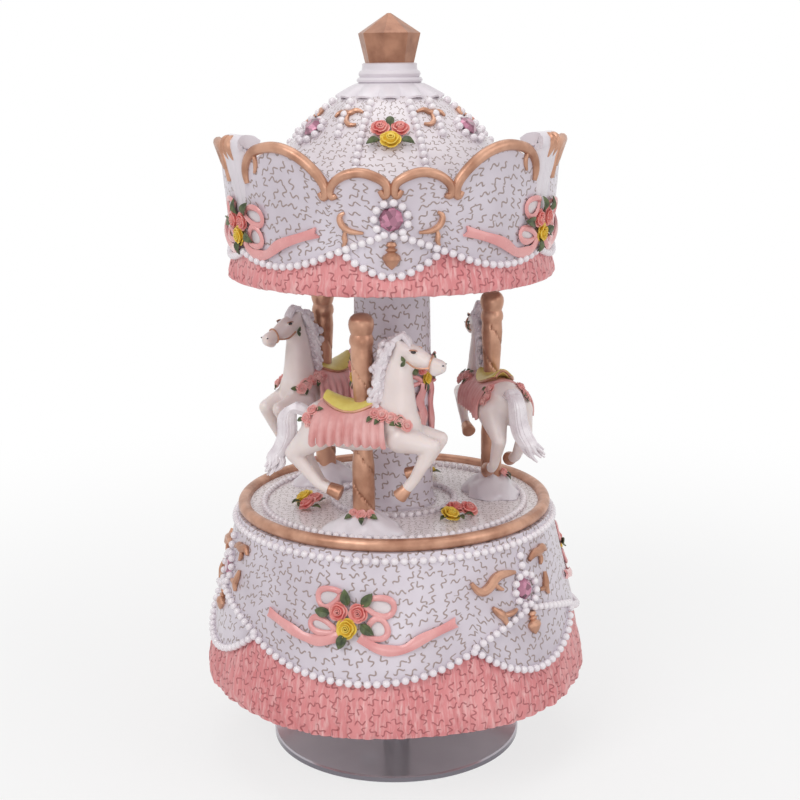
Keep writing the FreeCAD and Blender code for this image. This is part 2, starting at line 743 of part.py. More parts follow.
torso = limb([(-12.8, 22.8, 1.6, 1.4), (-10.6, 22.6, 4.2, 4.2), (-6.5, 22.0, 4.8, 4.8), (-1.0, 21.4, 4.5, 4.6),
              (4.5, 21.7, 4.8, 4.7), (9.2, 22.7, 4.4, 4.0), (12.0, 23.4, 2.2, 1.8)])
neck = limb([(6.2, 24.0, 5.2, 3.9), (7.5, 29.6, 3.8, 3.1), (8.0, 34.8, 3.0, 2.4), (8.4, 38.8, 2.0, 1.9)])
head = limb([(7.0, 38.6, 2.3, 1.9), (10.4, 36.9, 2.6, 2.1), (13.8, 35.0, 1.9, 1.6), (16.9, 33.5, 1.3, 1.3)])
saddle = limb([(3.6, 27.2, 0.8, 2.6), (1.2, 25.4, 1.6, 4.0), (-3.0, 24.7, 2.0, 4.5), (-6.6, 25.6, 2.0, 4.0),
               (-8.6, 28.0, 0.8, 2.6)])
mane = limb([(6.6, 40.4, 0.9), (4.4, 36.2, 1.7), (3.9, 31.4, 1.8), (3.8, 27.6, 0.9)])
tail = chain([(-11.8, 24.0, 1.2), (-14.6, 26.4, 1.8), (-16.6, 22.5, 2.2), (-17.9, 17.2, 1.5), (-18.6, 13.6, 0.5)])
near_hind = chain([(-9.4, 20.8, 3.0), (-14.8, 16.6, 1.5), (-8.2, 9.9, 1.1), (-4.9, 8.9, 1.5)], -2.7)
far_hind = chain([(-9.2, 20.4, 2.9), (-13.2, 14.6, 1.45), (-9.4, 12.9, 1.1), (-6.2, 13.4, 1.4)], 2.7)
near_fore = chain([(9.0, 21.0, 2.7), (15.3, 18.0, 1.4), (10.6, 10.9, 1.1), (7.9, 8.4, 1.45)], -2.6)
far_fore = chain([(9.0, 20.6, 2.6), (14.9, 15.9, 1.35), (12.2, 13.6, 1.1), (9.6, 12.3, 1.4)], 2.6)
ears = []
for side in (-1.0, 1.0):
    ears.append(Part.makeCone(0.8, 0.2, 3.4, Vector(7.4, side * 1.1, 39.4), Vector(-0.1, side * 0.2, 1)))
horse = torso
for piece in (neck, head, near_hind, far_hind, near_fore, far_fore, saddle, tail, mane, *ears):
    horse = horse.fuse(piece)
horse.scale(amount(HORSE_SCALE), Vector(0, 0, 0))
bore = Part.makeCylinder(amount("pole_waist_radius + snug"), 60, Vector(0, 0, 0))
shoulder = Part.makeCylinder(amount("pole_radius + snug"), amount(SEAT), Vector(0, 0, 0))
horse = horse.cut(bore).cut(shoulder)
for i, azimuth in enumerate(HORSE_AZIMUTHS, start=1):
    x, y = around("horse_circle_radius", azimuth)
    node(place(made(f"horse_{i}", horse), x, y, DECK, angle=azimuth))
    pole = turned(f"pole_{i}", [
        (0, 0),
        ("pole_radius", 0),
        ("pole_radius", SEAT),
        ("pole_waist_radius", SEAT),
        ("pole_waist_radius", "pole_rise * 0.6"),
        ("pole_radius - 0.1", "pole_rise - pole_ball_radius * 2 - 1"),
        ("pole_ball_radius", "pole_rise - pole_ball_radius * 2"),
        ("pole_ball_radius * 0.6", "pole_rise - pole_ball_radius * 1.8", "pole_ball_radius"),
        ("pole_ball_radius", "pole_rise - pole_ball_radius", "pole_ball_radius"),
        (0, "pole_rise"),
    ])
    node(place(pole, x, y, DECK, angle=azimuth))
    hump = doc.addObject("Part::Ellipsoid", f"hump_{i}")
    bind(hump, Radius1="mound_rise", Radius2="mound_length / 2", Radius3="mound_width / 2")
    hump.Angle1 = 0
    place(hump, x, y, DECK, angle=azimuth)
    socket = rod(f"mound_bore_{i}", "pole_radius + snug", "mound_rise + 2", (x, y, f"{DECK} - 1"))
    node(cut(f"mound_{i}", hump, [socket]))

# Stones set on the dome, the valance and the base, and the flowers glued to the deck.


def stone():
    """Cut stone with its flat back on the origin, facing -Y."""
    radius = amount("gem_radius")
    rise = amount("gem_rise")
    wires = [octagon(radius * 0.92, 0), octagon(radius, rise * 0.3), octagon(radius * 0.55, rise)]
    shape = Part.makeLoft(wires, True, True)
    shape.rotate(Vector(0, 0, 0), Vector(1, 0, 0), 90)
    return shape


def set_stones(radius, height, lean, azimuths):
    """Stones that face outward at a radius and height, leaning back from the vertical."""
    shape = stone()
    shape.rotate(Vector(0, 0, 0), Vector(1, 0, 0), -lean)
    shape.translate(Vector(0, -radius, height))
    return turned_copies(shape, azimuths)


drape_slope = (amount(f"{DRAPE_LOW} - {DRAPE_TOP}")) / amount("base_rise - ruffle_height - 0.5")
base_gem_height = amount(f"{DECK} - 11.6")
base_gem_radius = amount(DRAPE_TOP) + drape_slope * (amount(DECK) - 0.5 - base_gem_height) + 0.02
valance_slope = amount("valance_flare / valance_rise")
valance_gem_rise = 11.0
dome_gem_drop = 0.32
lift = bulge * (1 - (2 * dome_gem_drop - 1) ** 2) + 0.1
dome_spot = dome_high + chord * dome_gem_drop + dome_normal * lift
base_turn = amount("base_turn")
stones = set_stones(amount("valance_radius") + valance_slope * valance_gem_rise + 0.02,
                    amount(VALANCE) + valance_gem_rise, -math.degrees(math.atan(valance_slope)), (0, 120, 240))
stones += set_stones(dome_spot.x, dome_spot.z, math.degrees(math.atan2(dome_normal.z, dome_normal.x)), (60, 180, 300))
stones += set_stones(base_gem_radius, base_gem_height, math.degrees(math.atan(drape_slope)),
                     (base_turn + 60, base_turn + 180, base_turn + 300))
node(made("gemstones", Part.makeCompound(stones)))
flowers = []
for i, azimuth in enumerate(HORSE_AZIMUTHS, start=1):
    x, y = around("flower_circle_radius", f"{azimuth} + 60")
    blossom = doc.addObject("Part::Ellipsoid", f"blossom_{i}")
    bind(blossom, Radius1="flower_rise", Radius2="flower_radius", Radius3="flower_radius * 0.75")
    blossom.Angle1 = 0
    flowers.append(place(blossom, x, y, DECK, angle=f"{azimuth} + 60"))
node(group("deck_flowers", flowers))
doc.recompute()

# Movement: bedplate, spring housing, pinned cylinder, comb and air governor inside the base.
plate = doc.addObject("Part::MultiCommon", "bed_outline")
plate.Shapes = [
    block("bed_block", ("bedplate_back + bedplate_front", "bedplate_left + bedplate_right", "bedplate_thickness"),
          ("-bedplate_back", "-bedplate_left", BED)),
    rod("bed_round", "cavity_radius - 0.9", "bedplate_thickness", (0, 0, BED)),
]
COMB_TIP = "(cylinder_radius + pin_rise + comb_gap)"
COMB_BACK = f"({COMB_TIP} + comb_length)"
comb_block = block("comb_block", ("cylinder_length", "comb_heel", "axis_rise - comb_thickness / 2"),
                   (CYLINDER_X, f"-{COMB_BACK}", BED_TOP))
comb_spots = [(f"{CYLINDER_X} + cylinder_length * {share}", f"-{COMB_BACK} + comb_heel / 2") for share in (0.2, 0.8)]
COMB_TOP = f"({AXIS} + comb_thickness / 2)"
comb_bores = [rod(f"comb_bore_{i}", "pivot_radius + snug", 5, (*spot, f"{COMB_TOP} - 5"))
              for i, spot in enumerate(comb_spots, start=1)]
bed_bores = [rod(f"bed_bore_{i}", "screw_radius + snug", "bedplate_thickness - 0.3", (*spot, BED))
             for i, spot in enumerate(movement_spots, start=1)]
arbor_bore = rod("arbor_bore", "arbor_radius + running", "bedplate_thickness + 2", (0, 0, f"{BED} - 1"))
worm_socket = rod("worm_socket", "pivot_radius + running", "1.4", (WORM_X, WORM_Y, f"{BED_TOP} - 1.4"))
node(cut("bedplate", joined("bed_body", [plate, comb_block]), [arbor_bore, worm_socket, *comb_bores, *bed_bores]))
node(screws("movement_screws", [(*spot, COVER) for spot in movement_spots],
            "screw_radius", "screw_head_radius", "cover_thickness + bedplate_thickness - 0.5", "screw_head"))

HOUSING_TOP = f"({BED_TOP} + housing_rise)"
node(turned("spring_housing", [
    ("arbor_radius + 0.4", BED_TOP),
    ("housing_radius", BED_TOP),
    ("housing_radius", HOUSING_TOP),
    ("housing_radius - housing_wall", HOUSING_TOP),
    ("housing_radius - housing_wall", f"{BED_TOP} + housing_wall"),
    ("arbor_radius + 0.4", f"{BED_TOP} + housing_wall"),
]))
node(turned("housing_lid", [
    ("arbor_radius + 0.4", HOUSING_TOP),
    ("housing_radius", HOUSING_TOP),
    ("housing_radius", f"{HOUSING_TOP} + housing_lid"),
    ("arbor_radius + 0.4", f"{HOUSING_TOP} + housing_lid"),
]))


def half_turn(centre, radius, height, side):
    """Half circle on the side of +Y (1) or -Y (-1), from its +X end to its -X end or back."""
    start, end = Vector(side * radius, 0, 0), Vector(-side * radius, 0, 0)
    middle = Vector(0, side * radius, 0)
    shift = Vector(centre, 0, height)
    return Part.Arc(start + shift, middle + shift, end + shift).toShape()


def coil(inner, outer, pitch, thickness, height):
    """Face of a flat spiral strip made of half turns."""
    step = pitch / 2
    inside, outside = [], []
    radius, centre, side = inner, 0.0, 1
    while radius + abs(centre) + step < outer:
        inside.append(half_turn(centre, radius, height, side))
        outside.append(half_turn(centre, radius + thickness, height, side))
        radius += step
        centre += side * step
        side = -side
    first = Part.makeLine(inside[0].Vertexes[0].Point, outside[0].Vertexes[0].Point)
    last = Part.makeLine(inside[-1].Vertexes[-1].Point, outside[-1].Vertexes[-1].Point)
    return Part.Face(Part.Wire(Part.__sortEdges__([*inside, last, *outside, first])))


spring_floor = amount(f"{BED_TOP} + housing_wall") + 0.3
spring_face = coil(amount("arbor_radius") + 0.6, amount("housing_radius - housing_wall"),
                   amount("spring_pitch"), amount("spring_thickness"), spring_floor)
node(made("mainspring", spring_face.extrude(Vector(0, 0, amount(HOUSING_TOP) - 0.3 - spring_floor))))

TOOTH = ((-1.25, -0.27), (0.85, -0.12), (0.85, 0.12), (-1.25, 0.27))


def toothed(teeth, module, face, bore_radius, first):
    """Toothed wheel on Z from 0 to its face width, with the middle of one tooth at the angle first."""
    radius = teeth * module / 2
    points = []
    for tooth in range(teeth):
        for depth, share in TOOTH:
            angle = math.radians(first + (tooth + share) * 360 / teeth)
            reach = radius + depth * module
            points.append(Vector(reach * math.cos(angle), reach * math.sin(angle), 0))
    wheel = prism(points, Vector(0, 0, face))
    return wheel.cut(Part.makeCylinder(bore_radius, face * 3, Vector(0, 0, -face)))


def along_x(shape, x, y, z):
    """Shape built on Z, laid along +X: its own +X comes to face down and its +Y stays."""
    shape.rotate(Vector(0, 0, 0), Vector(0, 1, 0), 90)
    shape.translate(at(x, y, z))
    return shape


crown_module = amount("crown_module")
crown_pitch = math.pi * crown_module
crown_inner = amount(f"{CROWN_RADIUS} - crown_face / 2")
crown_outer = amount(CROWN_OUTER)
crown_tooth = [Vector(crown_inner, share * crown_pitch, -depth * crown_module) for depth, share in TOOTH]
crown_tooth = prism(crown_tooth, Vector(amount("crown_face"), 0, 0))
crown_tooth = crown_tooth.common(Part.makeCylinder(crown_outer, 20, Vector(0, 0, -10)))
crown_web = Part.makeCylinder(crown_outer, amount("crown_web"), Vector(0, 0, crown_module * 1.2))
crown_hub = Part.makeCylinder(amount("arbor_radius * 2"), amount("crown_web") + 1.2, Vector(0, 0, crown_module * 1.2))
crown_teeth = int(amount("crown_teeth"))
crown_spokes = turned_copies(crown_tooth, [i * 360 / crown_teeth for i in range(crown_teeth)])
crown = crown_web.multiFuse([crown_hub, *crown_spokes])
crown = crown.cut(Part.makeCylinder(amount("arbor_radius + snug"), 20, Vector(0, 0, -10)))
crown.translate(at(0, 0, CROWN_PITCH))
node(made("crown_wheel", crown))

SPINDLE_START = f"({CROWN_RADIUS} - crown_face / 2 - 0.3)"
SPINDLE_END = f"({PLATE_X} + post_thickness + 0.4)"
node(rod_along_x("cylinder_spindle", "spindle_radius", f"{SPINDLE_END} - {SPINDLE_START}", (SPINDLE_START, 0, AXIS)))
pinion_teeth = int(amount("pinion_teeth"))
pinion = toothed(pinion_teeth, crown_module, amount("crown_face - 0.2"), amount("spindle_radius + snug"),
                 180 + 180 / pinion_teeth)
node(made("cylinder_pinion", along_x(pinion, f"{CROWN_RADIUS} - crown_face / 2 + 0.1", 0, AXIS)))
drum = Part.makeCylinder(amount("cylinder_radius"), amount("cylinder_length"))
drum = drum.cut(Part.makeCylinder(amount("spindle_radius + snug"), amount("cylinder_length")))
notes = int(amount("notes"))
note_pitch = amount("cylinder_length") / notes
GOLDEN_ANGLE = 137.5
pins = []
for note in range(notes):
    for turn in range(2):
        angle = math.radians(note * GOLDEN_ANGLE + turn * 163)
        out = Vector(math.cos(angle), math.sin(angle), 0)
        foot = out * (amount("cylinder_radius") - 0.3) + Vector(0, 0, (note + 0.5) * note_pitch)
        pins.append(Part.makeCylinder(amount("pin_radius"), amount("pin_rise") + 0.3, foot, out))
node(made("pin_cylinder", along_x(drum.multiFuse(pins), CYLINDER_X, 0, AXIS)))
wheel_module = amount("wheel_module")
wheel = toothed(int(amount("wheel_teeth")), wheel_module, amount("wheel_face"), amount("spindle_radius + snug"), 90)
node(made("cylinder_wheel", along_x(wheel, WHEEL_X, 0, AXIS)))

comb_plate = block("comb_plate", ("cylinder_length", "comb_length", "comb_thickness"),
                   (CYLINDER_X, f"-{COMB_BACK}", f"{AXIS} - comb_thickness / 2"))
comb_slits = []
for i in range(1, notes):
    spot = (f"{CYLINDER_X} + cylinder_length * {i} / notes - comb_slit / 2", f"-{COMB_BACK} + comb_heel",
            f"{AXIS} - comb_thickness")
    comb_slits.append(block(f"comb_slit_{i}", ("comb_slit", "comb_length", "comb_thickness * 2"), spot))
plate_bores = [rod(f"plate_bore_{i}", "pivot_radius + snug", "comb_thickness * 2", (*spot, f"{AXIS} - comb_thickness"))
               for i, spot in enumerate(comb_spots, start=1)]
node(cut("comb", comb_plate, [*comb_slits, *plate_bores]))
comb_screws = []
for i, spot in enumerate(comb_spots, start=1):
    shank = rod(f"comb_shank_{i}", "pivot_radius", "4.6", (*spot, f"{COMB_TOP} - 4.6"))
    pan = rod(f"comb_pan_{i}", "pivot_radius * 2.4", "0.9", (*spot, COMB_TOP))
    comb_screws.append(joined(f"comb_screw_{i}", [shank, pan]))
node(group("comb_screws", comb_screws))

post = block("post_block", ("post_thickness", 6, "axis_rise + 2.4"), (POST_X, -3, BED_TOP))
post_bore = rod_along_x("post_bore", "spindle_radius + running", "post_thickness + 2", (f"{POST_X} - 1", 0, AXIS))
node(cut("inner_post", post, [post_bore]))
end_block = block("end_block", ("post_thickness", f"{IDLER_Y} + 5", "axis_rise + 2.4"), (PLATE_X, -3, BED_TOP))
end_bores = [
    rod_along_x("end_bore_1", "spindle_radius + running", "post_thickness + 2", (f"{PLATE_X} - 1", 0, AXIS)),
    rod_along_x("end_bore_2", "pivot_radius + running", "post_thickness + 2", (f"{PLATE_X} - 1", IDLER_Y, AXIS)),
]
node(cut("outer_plate", end_block, end_bores))
IDLER_POST_X = f"({WORM_X} - 2.6)"
idler_block = block("idler_block", ("post_thickness", 3, "axis_rise + 1.6"),
                    (IDLER_POST_X, f"{IDLER_Y} - 1.5", BED_TOP))
idler_bore = rod_along_x("idler_bore", "pivot_radius + running", "post_thickness + 2",
                         (f"{IDLER_POST_X} - 1", IDLER_Y, AXIS))
node(cut("idler_post", idler_block, [idler_bore]))

node(rod_along_x("idler_spindle", "pivot_radius", f"{SPINDLE_END} - {IDLER_POST_X} + 0.3",
                 (f"{IDLER_POST_X} - 0.3", IDLER_Y, AXIS)))
idler_teeth = int(amount("idler_teeth"))
idler = toothed(idler_teeth, wheel_module, amount("wheel_face"), amount("pivot_radius + snug"), -90 + 180 / idler_teeth)
node(made("idler_pinion", along_x(idler, WHEEL_X, IDLER_Y, AXIS)))
worm_module = amount("worm_module")
worm_wheel_face = 0.8
worm_wheel = toothed(int(amount("worm_wheel_teeth")), worm_module, worm_wheel_face, amount("pivot_radius + snug"), 90)
node(made("worm_wheel", along_x(worm_wheel, f"{WORM_X} - {worm_wheel_face} / 2", IDLER_Y, AXIS)))

# Worm: one right-hand thread, with a gap toward the wheel at the height of the cylinder spindle.
worm_pitch = math.pi * worm_module
worm_root = amount("worm_pitch_radius") - 1.2 * worm_module
worm_tip = amount("worm_pitch_radius") + 0.85 * worm_module
turns = 5
thread_low = -worm_pitch * turns / 2
helix = Part.makeHelix(worm_pitch, worm_pitch * turns, worm_root)
thread_profile = [Vector(worm_root - 0.1, 0, -0.27 * worm_pitch), Vector(worm_tip, 0, -0.12 * worm_pitch),
                  Vector(worm_tip, 0, 0.12 * worm_pitch), Vector(worm_root - 0.1, 0, 0.27 * worm_pitch)]
thread_wire = Part.makePolygon([*thread_profile, thread_profile[0]])
thread = Part.Wire(helix).makePipeShell([thread_wire], True, True)
thread.translate(Vector(0, 0, thread_low))
thread.rotate(Vector(0, 0, 0), Vector(0, 0, 1), -90)
core = Part.makeCylinder(worm_root, worm_pitch * (turns + 1), Vector(0, 0, thread_low - worm_pitch / 2))
worm = core.fuse(thread)
shaft_low = amount(f"{BED_TOP} - 1.2 - {AXIS}")
shaft_high = amount(f"{ARM_Z} + post_thickness + fan_height + 1 - {AXIS}")
worm = worm.fuse(Part.makeCylinder(amount("pivot_radius"), shaft_high - shaft_low, Vector(0, 0, shaft_low)))
worm.translate(at(WORM_X, WORM_Y, AXIS))
node(made("worm_shaft", worm))
FAN_Z = f"({ARM_Z} + post_thickness + 0.4)"
fan_hub = rod("fan_hub", "pivot_radius + 0.6", "fan_height", (WORM_X, WORM_Y, FAN_Z))
fan_blade = block("fan_blade", ("fan_radius * 2", "0.4", "fan_height"),
                  (f"{WORM_X} - fan_radius", f"{WORM_Y} - 0.2", FAN_Z))
fan_bore = rod("fan_bore", "pivot_radius + snug", "fan_height + 2", (WORM_X, WORM_Y, f"{FAN_Z} - 1"))
node(cut("air_brake", joined("fan_body", [fan_hub, fan_blade]), [fan_bore]))
POST_Y = f"({WORM_Y} + worm_pitch_radius + 1.1)"
stem = block("governor_stem", (3, 1.6, f"{ARM_Z} + post_thickness - {BED_TOP}"), (f"{WORM_X} - 1.5", POST_Y, BED_TOP))
arm = block("governor_arm", (3, f"{POST_Y} - {WORM_Y} + 1.6", "post_thickness"),
            (f"{WORM_X} - 1.5", f"{WORM_Y} - 1.5", ARM_Z))
arm_bore = rod("arm_bore", "pivot_radius + running", "post_thickness + 2", (WORM_X, WORM_Y, f"{ARM_Z} - 1"))
node(cut("governor_bracket", joined("governor_body", [stem, arm]), [arm_bore]))

doc.recompute()
for item in doc.Objects:
    if "Invalid" in item.State or "Error" in item.State:
        raise RuntimeError(f"{item.Label} could not be built: {item.State}")
os.makedirs("parts", exist_ok=True)
for item in NODES:
    shape = item.Shape
    if shape.isNull() or not shape.isValid() or not shape.Solids:
        raise RuntimeError(f"{item.Label} has no valid solid")
    shape.exportStep(f"parts/{item.Label}.step")
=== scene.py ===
"""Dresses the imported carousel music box: pearl resin, gathered skirts, horses, pearls, roses and bows."""

import logging
import math
import random
from dataclasses import dataclass, field
from enum import Enum
from typing import Callable, Iterable, Sequence

import bpy
from mathutils import Matrix, Vector

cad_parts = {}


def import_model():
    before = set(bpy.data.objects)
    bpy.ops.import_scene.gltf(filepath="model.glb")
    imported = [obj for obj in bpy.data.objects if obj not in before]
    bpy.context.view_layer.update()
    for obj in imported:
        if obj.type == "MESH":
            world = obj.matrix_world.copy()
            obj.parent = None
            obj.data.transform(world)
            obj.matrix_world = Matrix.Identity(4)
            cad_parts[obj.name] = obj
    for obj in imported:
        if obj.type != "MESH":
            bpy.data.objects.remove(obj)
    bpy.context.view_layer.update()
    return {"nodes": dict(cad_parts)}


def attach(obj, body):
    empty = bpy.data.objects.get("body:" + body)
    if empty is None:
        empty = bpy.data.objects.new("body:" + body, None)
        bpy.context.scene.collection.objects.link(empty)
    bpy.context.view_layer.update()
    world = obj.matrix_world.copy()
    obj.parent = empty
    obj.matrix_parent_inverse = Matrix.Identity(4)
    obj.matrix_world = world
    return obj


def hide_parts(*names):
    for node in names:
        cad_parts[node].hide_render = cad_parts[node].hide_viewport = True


LOG = logging.getLogger("carousel")
MM = 0.001
CAROUSEL = "carousel"

# Azimuths, in degrees from the front, of the threefold pattern and of points close together all round.
FRONTS = (0.0, 120.0, 240.0)
CORNERS = (60.0, 180.0, 300.0)
ROUND = tuple(1.5 * i for i in range(240))

Piece = bpy.types.Object
Socket = bpy.types.NodeSocket
Pair = tuple[float, float]
Point = tuple[float, float, float]
Screen = tuple[int, int, int]
Profile = Sequence[Pair]
Reshape = Callable[[float, float, float], Pair]
Lay = Callable[[float, float], Vector]


class Weld(Enum):
    """Distances, in metres, within which doubled points are merged."""

    FINE = 1e-7
    SEAM = 2e-6


# Places on the object, in millimetres and degrees


def spot(radius: float, azimuth: float, height: float) -> Vector:
    """Point, in metres, at millimetres from the axis and above the table, degrees from the front to +X."""
    angle = math.radians(azimuth)
    return Vector((radius * math.sin(angle), -radius * math.cos(angle), height)) * MM


def turned(angle: float, axis: str = "Z") -> Matrix:
    """Turn about an axis, in radians."""
    return Matrix.Rotation(angle, 4, axis)


def scaled(size: float) -> Matrix:
    """Scale alike along all axes."""
    return Matrix.Scale(size, 4)


def shifted(x: float, y: float, z: float) -> Matrix:
    """Shift in millimetres."""
    return Matrix.Translation(Vector((x, y, z)) * MM)


def sector(azimuth: float, turn: float = 0.0) -> float:
    """Azimuth folded into the threefold pattern: degrees from the nearest pattern centre, -60 to 60."""
    return (azimuth - turn + 60.0) % 120.0 - 60.0


def clamp(value: float) -> float:
    """Value held between 0 and 1."""
    return max(0.0, min(1.0, value))


def lerp(table: Profile, value: float) -> float:
    """Straight-line reading of a table.

    Args:
        table: (position, value) pairs in rising order.
        value: position to read at.

    Returns:
        The value there, or that of the nearest end.
    """
    if value <= table[0][0]:
        return table[0][1]
    for (a, p), (b, q) in zip(table, table[1:]):
        if value <= b:
            return p + (q - p) * (value - a) / (b - a)
    return table[-1][1]


def walk(chain: Profile, place: float) -> Pair:
    """Pair at a place along a chain of pairs.

    Args:
        chain: pairs of numbers.
        place: distance along the chain, where each stretch counts as one.

    Returns:
        The pair there.
    """
    i = min(int(place), len(chain) - 2)
    (a, p), (b, q) = chain[i], chain[i + 1]
    return a + (b - a) * (place - i), p + (q - p) * (place - i)


# Modelling helpers


class Bench:
    """Modelling operations on the active object."""

    map_lean = 0.6

    @staticmethod
    def clear() -> None:
        """Deselects every object."""
        if bpy.context.object and bpy.context.object.mode != "OBJECT":
            bpy.ops.object.mode_set(mode="OBJECT")
        bpy.ops.object.select_all(action="DESELECT")

    @staticmethod
    def pick(obj: Piece) -> Piece:
        """Makes one object the only selected and active one.

        Args:
            obj: object to pick.

        Returns:
            The same object.
        """
        Bench.clear()
        obj.select_set(True)
        bpy.context.view_layer.objects.active = obj
        return obj

    @staticmethod
    def fix() -> Piece:
        """Puts the active object's place into its mesh, and gives that object."""
        bpy.ops.object.transform_apply(location=True, rotation=True, scale=True)
        return bpy.context.active_object

    @staticmethod
    def rename(obj: Piece, name: str) -> Piece:
        """Names an object and its mesh.

        Args:
            obj: object to name.
            name: new name.

        Returns:
            The same object.
        """
        obj.name = name
        obj.data.name = name
        return obj

    @staticmethod
    def moved(obj: Piece, place: Matrix) -> Piece:
        """Puts a piece at a place and keeps that place in its mesh.

        Args:
            obj: mesh object.
            place: transform in metres.

        Returns:
            The same object.
        """
        Bench.pick(obj)
        obj.matrix_world = place
        return Bench.fix()

    @staticmethod
    def apply(obj: Piece, kind: str, **settings: object) -> Piece:
        """Adds a modifier with its settings and applies it.

        Args:
            obj: mesh object to change.
            kind: modifier type.
            settings: modifier properties by name.

        Returns:
            The same object.
        """
        Bench.pick(obj)
        modifier = obj.modifiers.new(kind.lower(), kind)
        for key, value in settings.items():
            setattr(modifier, key, value)
        bpy.ops.object.modifier_apply(modifier=modifier.name)
        return obj

    @staticmethod
    def smooth(obj: Piece, angle: float = 40.0) -> Piece:
        """Smooth shading except across sharp edges.

        Args:
            obj: mesh object.
            angle: degrees past which an edge is sharp.

        Returns:
            The same object.
        """
        Bench.pick(obj)
        bpy.ops.object.shade_smooth_by_angle(angle=math.radians(angle))
        return obj

    @staticmethod
    def outward(obj: Piece, weld: Weld = Weld.FINE) -> Piece:
        """Merges doubled points and turns all faces outward.

        Args:
            obj: mesh object.
            weld: distance within which points are merged.

        Returns:
            The same object.
        """
        Bench.pick(obj)
        bpy.ops.object.mode_set(mode="EDIT")
        bpy.ops.mesh.select_all(action="SELECT")
        bpy.ops.mesh.remove_doubles(threshold=weld.value)
        bpy.ops.mesh.normals_make_consistent(inside=False)
        bpy.ops.object.mode_set(mode="OBJECT")
        return obj

    @staticmethod
    def capped(obj: Piece) -> Piece:
        """Closes the open ends of a mesh.

        Args:
            obj: mesh object.

        Returns:
            The same object.
        """
        Bench.pick(obj)
        bpy.ops.object.mode_set(mode="EDIT")
        bpy.ops.mesh.select_all(action="DESELECT")
        bpy.ops.mesh.select_non_manifold()
        bpy.ops.mesh.edge_face_add()
        bpy.ops.object.mode_set(mode="OBJECT")
        return obj

    @staticmethod
    def joined(name: str, objs: Sequence[Piece]) -> Piece:
        """Joins mesh objects into one.

        Args:
            name: name of the new piece.
            objs: mesh objects.

        Returns:
            The joined piece.
        """
        Bench.clear()
        for obj in objs:
            obj.select_set(True)
        bpy.context.view_layer.objects.active = objs[0]
        if len(objs) > 1:
            bpy.ops.object.join()
        return Bench.fix_named(name)

    @staticmethod
    def fix_named(name: str) -> Piece:
        """Names the active object and puts its place into its mesh."""
        return Bench.rename(Bench.fix(), name)

    @staticmethod
    def twin(pattern: Piece) -> Piece:
        """Copy of an object with a mesh of its own.

        Args:
            pattern: mesh object.

        Returns:
            The copy, in the scene.
        """
        item = pattern.copy()
        item.data = pattern.data.copy()
        bpy.context.collection.objects.link(item)
        return item

    @staticmethod
    def copies(name: str, pattern: Piece, places: Iterable[Matrix]) -> Piece:
        """One mesh that holds a copy of a pattern at each place; the pattern itself is removed.

        Args:
            name: name of the new piece.
            pattern: mesh object modelled at the origin.
            places: transforms in metres.

        Returns:
            The joined piece.
        """
        items = []
        for place in places:
            item = Bench.twin(pattern)
            item.matrix_world = place
            items.append(item)
        bpy.data.objects.remove(pattern)
        return Bench.joined(name, items)

    @staticmethod
    def line(points: Sequence[Point]) -> Piece:
        """Open chain of edges, drawn by extruding one point.

        Args:
            points: points in mm.

        Returns:
            The chain.
        """
        Bench.clear()
        bpy.ops.mesh.primitive_plane_add(size=MM, location=Vector(points[0]) * MM)
        obj = Bench.fix()
        bpy.ops.object.mode_set(mode="EDIT")
        bpy.ops.mesh.select_all(action="SELECT")
        bpy.ops.mesh.merge(type="CENTER")
        for before, after in zip(points, points[1:]):
            step = (Vector(after) - Vector(before)) * MM
            bpy.ops.mesh.extrude_region_move(TRANSFORM_OT_translate={"value": step})
        bpy.ops.object.mode_set(mode="OBJECT")
        return obj

    @staticmethod
    def unwrap(obj: Piece, girth: float) -> list[Point]:
        """Gives a surface of revolution a map in millimetres along the girth and the height.

        Args:
            obj: mesh object about Z.
            girth: radius at which the map is true to size, or 0 for a map seen from above.

        Returns:
            Azimuth, radius and height of each point, in degrees and millimetres.
        """
        flat = [(math.degrees(math.atan2(v.co.x, -v.co.y)), math.hypot(v.co.x, v.co.y) / MM, v.co.z / MM)
                for v in obj.data.vertices]
        while obj.data.uv_layers:
            obj.data.uv_layers.remove(obj.data.uv_layers[0])
        layer = obj.data.uv_layers.new(name="UVMap")
        for face in obj.data.polygons:
            turns = [flat[i][0] for i in face.vertices]
            wide = max(turns) - min(turns) > 180
            for loop, index, turn in zip(face.loop_indices, face.vertices, turns):
                around = turn + 360 if wide and turn < 0 else turn
                over = obj.data.vertices[index].co / MM
                reach = flat[index][2] - Bench.map_lean * flat[index][1]
                layer.data[loop].uv = (math.radians(around) * girth, reach) if girth else over.xy
        return flat

    @staticmethod
    def spun(name: str, profile: Profile, steps: int, girth: float, shape: Reshape | None = None) -> Piece:
        """Surface of revolution about Z from a profile, unwrapped and then reshaped point by point.

        Args:
            name: name of the new piece.
            profile: (radius, height) pairs in mm.
            steps: segments around.
            girth: radius at which the map is true to size, or 0 for a map seen from above.
            shape: takes azimuth, radius and height and gives the new radius and height.

        Returns:
            The new mesh object.
        """
        obj = Bench.pick(Bench.line([(radius, 0.0, height) for radius, height in profile]))
        bpy.ops.object.mode_set(mode="EDIT")
        bpy.ops.mesh.select_all(action="SELECT")
        bpy.ops.mesh.spin(steps=steps, angle=2 * math.pi, center=(0, 0, 0), axis=(0, 0, 1))
        bpy.ops.object.mode_set(mode="OBJECT")
        Bench.outward(obj, Weld.SEAM)
        flat = Bench.unwrap(obj, girth)
        if shape:
            for vertex, (azimuth, radius, height) in zip(obj.data.vertices, flat):
                radius, height = shape(azimuth, radius, height)
                vertex.co = spot(radius, azimuth, height)
        return Bench.smooth(Bench.rename(obj, name))

